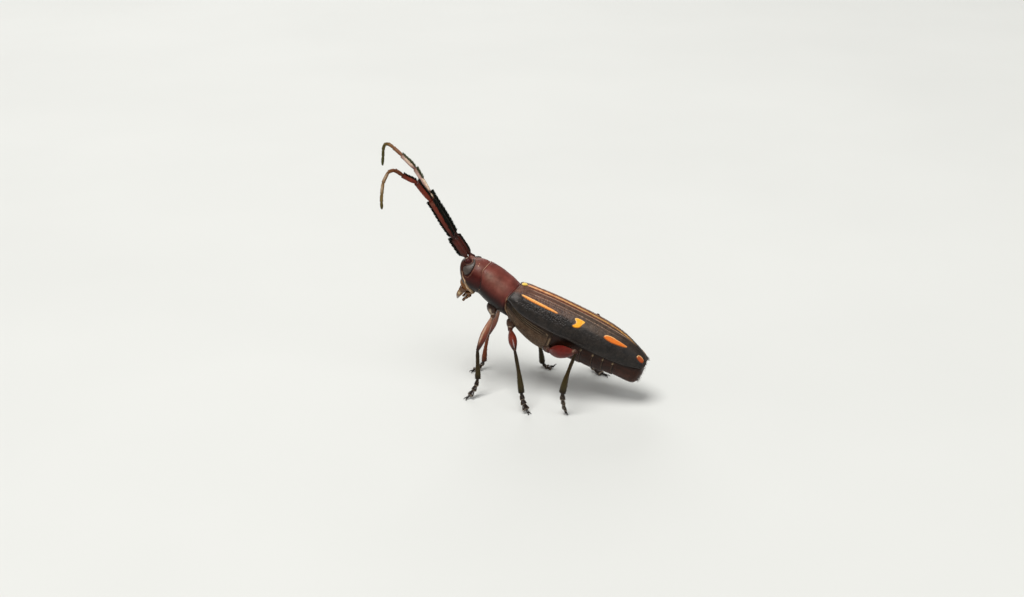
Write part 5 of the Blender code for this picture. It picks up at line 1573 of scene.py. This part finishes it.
def fringe(name, t, u_range, count, up_weight, down_weight, length, look, lean=0.75, length_end=None, tall_up=1.0, half=0.0065, close=7.0):
    """A dense brush of hairs along the upper and lower sides of an antenna joint."""
    vertical = np.array([0, 0, 1.0])

    def want(u, ph):
        i = min(int(np.searchsorted(t["u"][:, 0], u)), len(t["way"]) - 1)
        ref = vertical - t["way"][i] * t["way"][i][2]
        ref /= np.linalg.norm(ref)
        d = (t["side"][i] * math.cos(ph) + t["up"][i] * math.sin(ph)).dot(ref)
        return up_weight * max(d, 0) ** close + down_weight * max(-d, 0) ** close

    roots, out, way, uv, got = on_tube(t, count, u_range, want)
    ref = vertical - way * way[:, 2:3]
    ref /= np.linalg.norm(ref, axis=1, keepdims=True)
    upness = (out * ref).sum(1)
    out = ref * np.sign(upness)[:, None] * 0.85 + out * 0.25
    tuft = np.sin(got[:, 0] * t["length"] * 27 + np.sign(upness)) * 0.5 + 0.5
    ways = out + way * (lean * (0.75 + 0.5 * tuft) + rng.normal(0, 0.08, len(roots)))[:, None] + rng.normal(0, 0.05, (len(roots), 3))
    base = np.interp(got[:, 0], [u_range[0], u_range[1]], [length, length if length_end is None else length_end])
    lengths = base * rng.uniform(0.65, 1.05, len(roots)) * (0.80 + 0.32 * tuft) * np.where(upness > 0, tall_up, 1.0)
    return hairs(name, roots - out * 0.01, ways, lengths, half, look, uv)


black_hair = look_hair("black_hair", (14, 10, 5), (12, 18, 5), 0.6)
grey_hair = look_hair("grey_hair", (52, 48, 34), (92, 98, 66), 0.6)
dark_hair = look_hair("dark_hair", (30, 24, 22), (48, 42, 38), 0.6)
pale_hair = look_hair("pale_hair", (110, 88, 66), (166, 146, 118), 0.5)
brown_hair = look_hair("brown_hair", (44, 24, 12), (84, 56, 32), 0.5)
few = 1.0
for word, ant in (("left", antenna_left), ("right", antenna_right)):
    near = word == "left"
    fringe(f"fringe_{word}_scape", ant["scape"], (0.22, 0.999), int(3400 * few), 0.2 if near else 0.8, 1.0, 0.26, black_hair, 1.0, 0.24,
           0.14 if near else 0.30)
    fringe(f"fringe_{word}_third", ant["third"], (0.006, 0.990), int(7500 * few), 1.15, 1.0, 0.23, black_hair, 1.0, 0.20, 0.98)
    fringe(f"fringe_{word}_fourth", ant["fourth"][0], (0.02 if near else 0.52, 0.97), int((1700 if near else 420) * few), 1.0, 0.0,
           0.17 if near else 0.21, black_hair if near else grey_hair, 1.0, 0.20, close=6.0 if near else 14.0)
    fringe(f"fringe_{word}_fifth", ant["fourth"][1], (0.02, 0.97), int((800 if near else 560) * few), 1.0, 0.0, 0.18 if near else 0.23,
           black_hair if near else grey_hair, 1.0, 0.10 if near else 0.14, close=6.0 if near else 14.0)

# short hairs on the antennae's ends, legs and feet, each on its own carrier's unwrap
for word, ant in (("left", antenna_left), ("right", antenna_right)):
    roots, ways, uvs = [], [], []
    for i, t in enumerate(ant["tips"]):
        r, o, w, uv, _ = on_tube(t, int(70 * few), (0.05, 0.95))
        roots.append(r)
        ways.append(o * 0.4 + w)
        uvs.append(np.stack([(i + uv[:, 0]) / 6, uv[:, 1]], 1))
    hairs(f"down_{word}_tips", np.concatenate(roots), np.concatenate(ways), rng.uniform(0.03, 0.055, sum(map(len, roots))), 0.0025,
          brown_hair, np.concatenate(uvs))

for name, leg in legs.items():
    t = leg["tibia"]
    r, o, w, uv, g = on_tube(t, int(300 * few), (0.08, 0.97), lambda u, ph: 0.15 + 0.85 * u**2)
    hairs(f"{name}_tibia_hairs", r, o * 0.55 + w + rng.normal(0, 0.1, r.shape), rng.uniform(0.035, 0.065, len(r)) * (0.7 + 0.6 * g[:, 0]), 0.0030,
          brown_hair, uv)
    t = leg["femur"]
    r, o, w, uv, g = on_tube(t, int(120 * few), (0.10, 0.92))
    hairs(f"{name}_femur_hairs", r, o * 0.30 + w, rng.uniform(0.03, 0.05, len(r)), 0.0020, brown_hair, uv)
    roots, ways, uvs, lens = [], [], [], []
    for i, t in enumerate(leg["pads"]):
        if i == 3:
            continue
        r, o, w, uv, g = on_tube(t, int(240 * few), (0.25, 0.98), lambda u, ph: 1.0)
        keep = o[:, 2] < 0.15
        roots.append(r[keep])
        ways.append((o * 0.8 + w * 0.6)[keep])
        lens.append(rng.uniform(0.025, 0.05, keep.sum()))
        uvs.append(np.stack([(i + uv[keep, 0]) / 3, uv[keep, 1]], 1))
    r, w, l = np.concatenate(roots), np.concatenate(ways), np.concatenate(lens)
    w = w / np.linalg.norm(w, axis=1, keepdims=True)
    low = r[:, 2] + w[:, 2] * l
    l = np.where(low < 0.004, l * np.clip((r[:, 2] - 0.004) / np.maximum(r[:, 2] - low, 1e-6), 0.15, 1), l)
    hairs(f"{name}_foot_pads", r, w, l, 0.0035, pale_hair, np.concatenate(uvs))


def on_grid(s, count, test, dice=rng):
    """Random roots on a shell's grid where test is likely."""
    weight = np.clip(test, 0, None)
    w = weight.ravel() / weight.sum()
    i = dice.choice(w.size, count, p=w)
    rows, cols = np.unravel_index(i, weight.shape)
    n, m = weight.shape
    jitter = dice.uniform(-0.5, 0.5, (2, count))
    return s["p"][rows, cols], s["n"][rows, cols], np.stack([(rows + jitter[0]) / n, (cols + jitter[1]) / m], 1), rows, cols


def turn(d):
    """Body directions to the row's axes."""
    d = np.asarray(d, float)
    return np.stack([d[..., 0], d[..., 1] * COS_P + d[..., 2] * SIN_P, -d[..., 1] * SIN_P + d[..., 2] * COS_P], -1)


# down on the breast, bristles at the tail, fine hairs on the belly and wing cases
below = (breast["fold"] > 96).astype(float) * (0.4 + 0.6 * ease(breast["fold"], 100, 130))
r, o, uv, _, _ = on_grid(breast, int(6500 * few), below)
hairs("breast_down", world(r), turn(o * 0.22 + np.array([0, 1.0, -0.05])), rng.uniform(0.05, 0.09, len(r)), 0.0020, pale_hair, uv)
below = (belly["fold"] > 96).astype(float) * (0.3 + 0.7 * ease(belly["a"], 7.0, 8.0))
r, o, uv, _, _ = on_grid(belly, int(1800 * few), below)
hairs("belly_hairs", world(r), turn(o * 0.25 + np.array([0, 1.0, 0])), rng.uniform(0.035, 0.07, len(r)), 0.0022, brown_hair, uv)
below = (belly["fold"] > 92).astype(float) * ease(belly["a"], 8.08, 8.28)
r, o, uv, _, _ = on_grid(belly, int(170 * few), below)
hairs("tail_bristles", world(r), turn(o * 0.45 + np.array([0, 1.0, -0.2]) + rng.normal(0, 0.15, r.shape)), rng.uniform(0.09, 0.20, len(r)), 0.0030,
      brown_hair, uv)
for word, case, s in (("left", case_left, 1), ("right", case_right, -1)):
    flip = np.array([s, 1, 1])
    tail = ease(case["a"], 7.95, 8.15) * (case["th"] > 8)
    r, o, uv, _, _ = on_grid(case, int(90 * few), tail)
    hairs(f"case_bristles_{word}", world(r * flip), turn((o * 0.25 + np.array([0, 1.0, 0.02])) * flip), rng.uniform(0.06, 0.12, len(r)), 0.0028,
          brown_hair, uv)
    allover = (case["th"] > 3) * (case["a"] > 0.3) * (case["spot"] < 0.05).astype(float)
    r, o, uv, _, _ = on_grid(case, int(1300 * few), allover)
    hairs(f"case_hairs_{word}", world(r * flip), turn((o * 0.22 + np.array([0, 1.0, 0])) * flip), rng.uniform(0.025, 0.045, len(r)), 0.0020,
          dark_hair, uv)

# ------------------------------------------------------------------ floor, light, camera
floor_mesh = bpy.data.meshes.new("floor")
bm = bmesh.new()
bmesh.ops.create_grid(bm, x_segments=8, y_segments=8, size=1.5)
bm.to_mesh(floor_mesh)
bm.free()
floor = bpy.data.objects.new("floor", floor_mesh)
bpy.context.scene.collection.objects.link(floor)
pale = Look("pale_floor", roughness=0.75)
pale.colour(pale.ramp(pale.noise(30.0, 3), [(0.0, (208, 209, 206)), (1.0, (217, 218, 215))]))
floor_mesh.materials.append(pale.m)

AZ, EL = math.radians(108), math.radians(22)
right = Vector((math.cos(AZ), math.sin(AZ), 0))
up = Vector((-math.sin(AZ) * math.sin(EL), math.cos(AZ) * math.sin(EL), math.cos(EL)))
back = Vector((math.sin(AZ) * math.cos(EL), -math.cos(AZ) * math.cos(EL), math.sin(EL)))
PIXELS_PER_MM = 17.9
base = Vector((0, BASE_Y, BASE_HEIGHT))
target = (base - right * ((521 - 512) / PIXELS_PER_MM) + up * ((285 - 298.5) / PIXELS_PER_MM)) * MM
distance = 1024 * 50 / 36 / PIXELS_PER_MM * MM
camera_data = bpy.data.cameras.new("camera")
camera_data.lens = 50
camera_data.sensor_width = 36
camera_data.clip_start = 0.001
camera_data.clip_end = 20
camera = bpy.data.objects.new("camera", camera_data)
camera.location = target + back * distance
camera.rotation_euler = back.to_track_quat("Z", "Y").to_euler()
bpy.context.scene.collection.objects.link(camera)
bpy.context.scene.camera = camera


def area(name, way, size, power, colour=(1, 1, 1), reach=0.8):
    d = bpy.data.lights.new(name, "AREA")
    d.shape = "DISK"
    d.size = size
    d.energy = power
    d.color = colour
    o = bpy.data.objects.new(name, d)
    way = way.normalized()
    o.location = target + way * reach
    o.rotation_euler = way.to_track_quat("Z", "Y").to_euler()
    bpy.context.scene.collection.objects.link(o)


area("key", -right * 0.22 + up * 0.85 + back * 0.62, 0.45, 6.0, (1.0, 0.99, 0.97))
area("fill", right * 0.7 + up * 0.35 + back * 0.8, 0.70, 1.3, (0.96, 0.98, 1.0))
area("rim", -right * 0.2 + up * 0.9 - back * 0.9, 0.50, 1.7, (1.0, 1.0, 1.0))
sky = bpy.data.worlds.new("sky")
sky.use_nodes = True
sky.node_tree.nodes["Background"].inputs["Color"].default_value = (0.84, 0.83, 0.80, 1)
sky.node_tree.nodes["Background"].inputs["Strength"].default_value = 0.34
bpy.context.scene.world = sky
bpy.context.scene.view_settings.view_transform = "Standard"
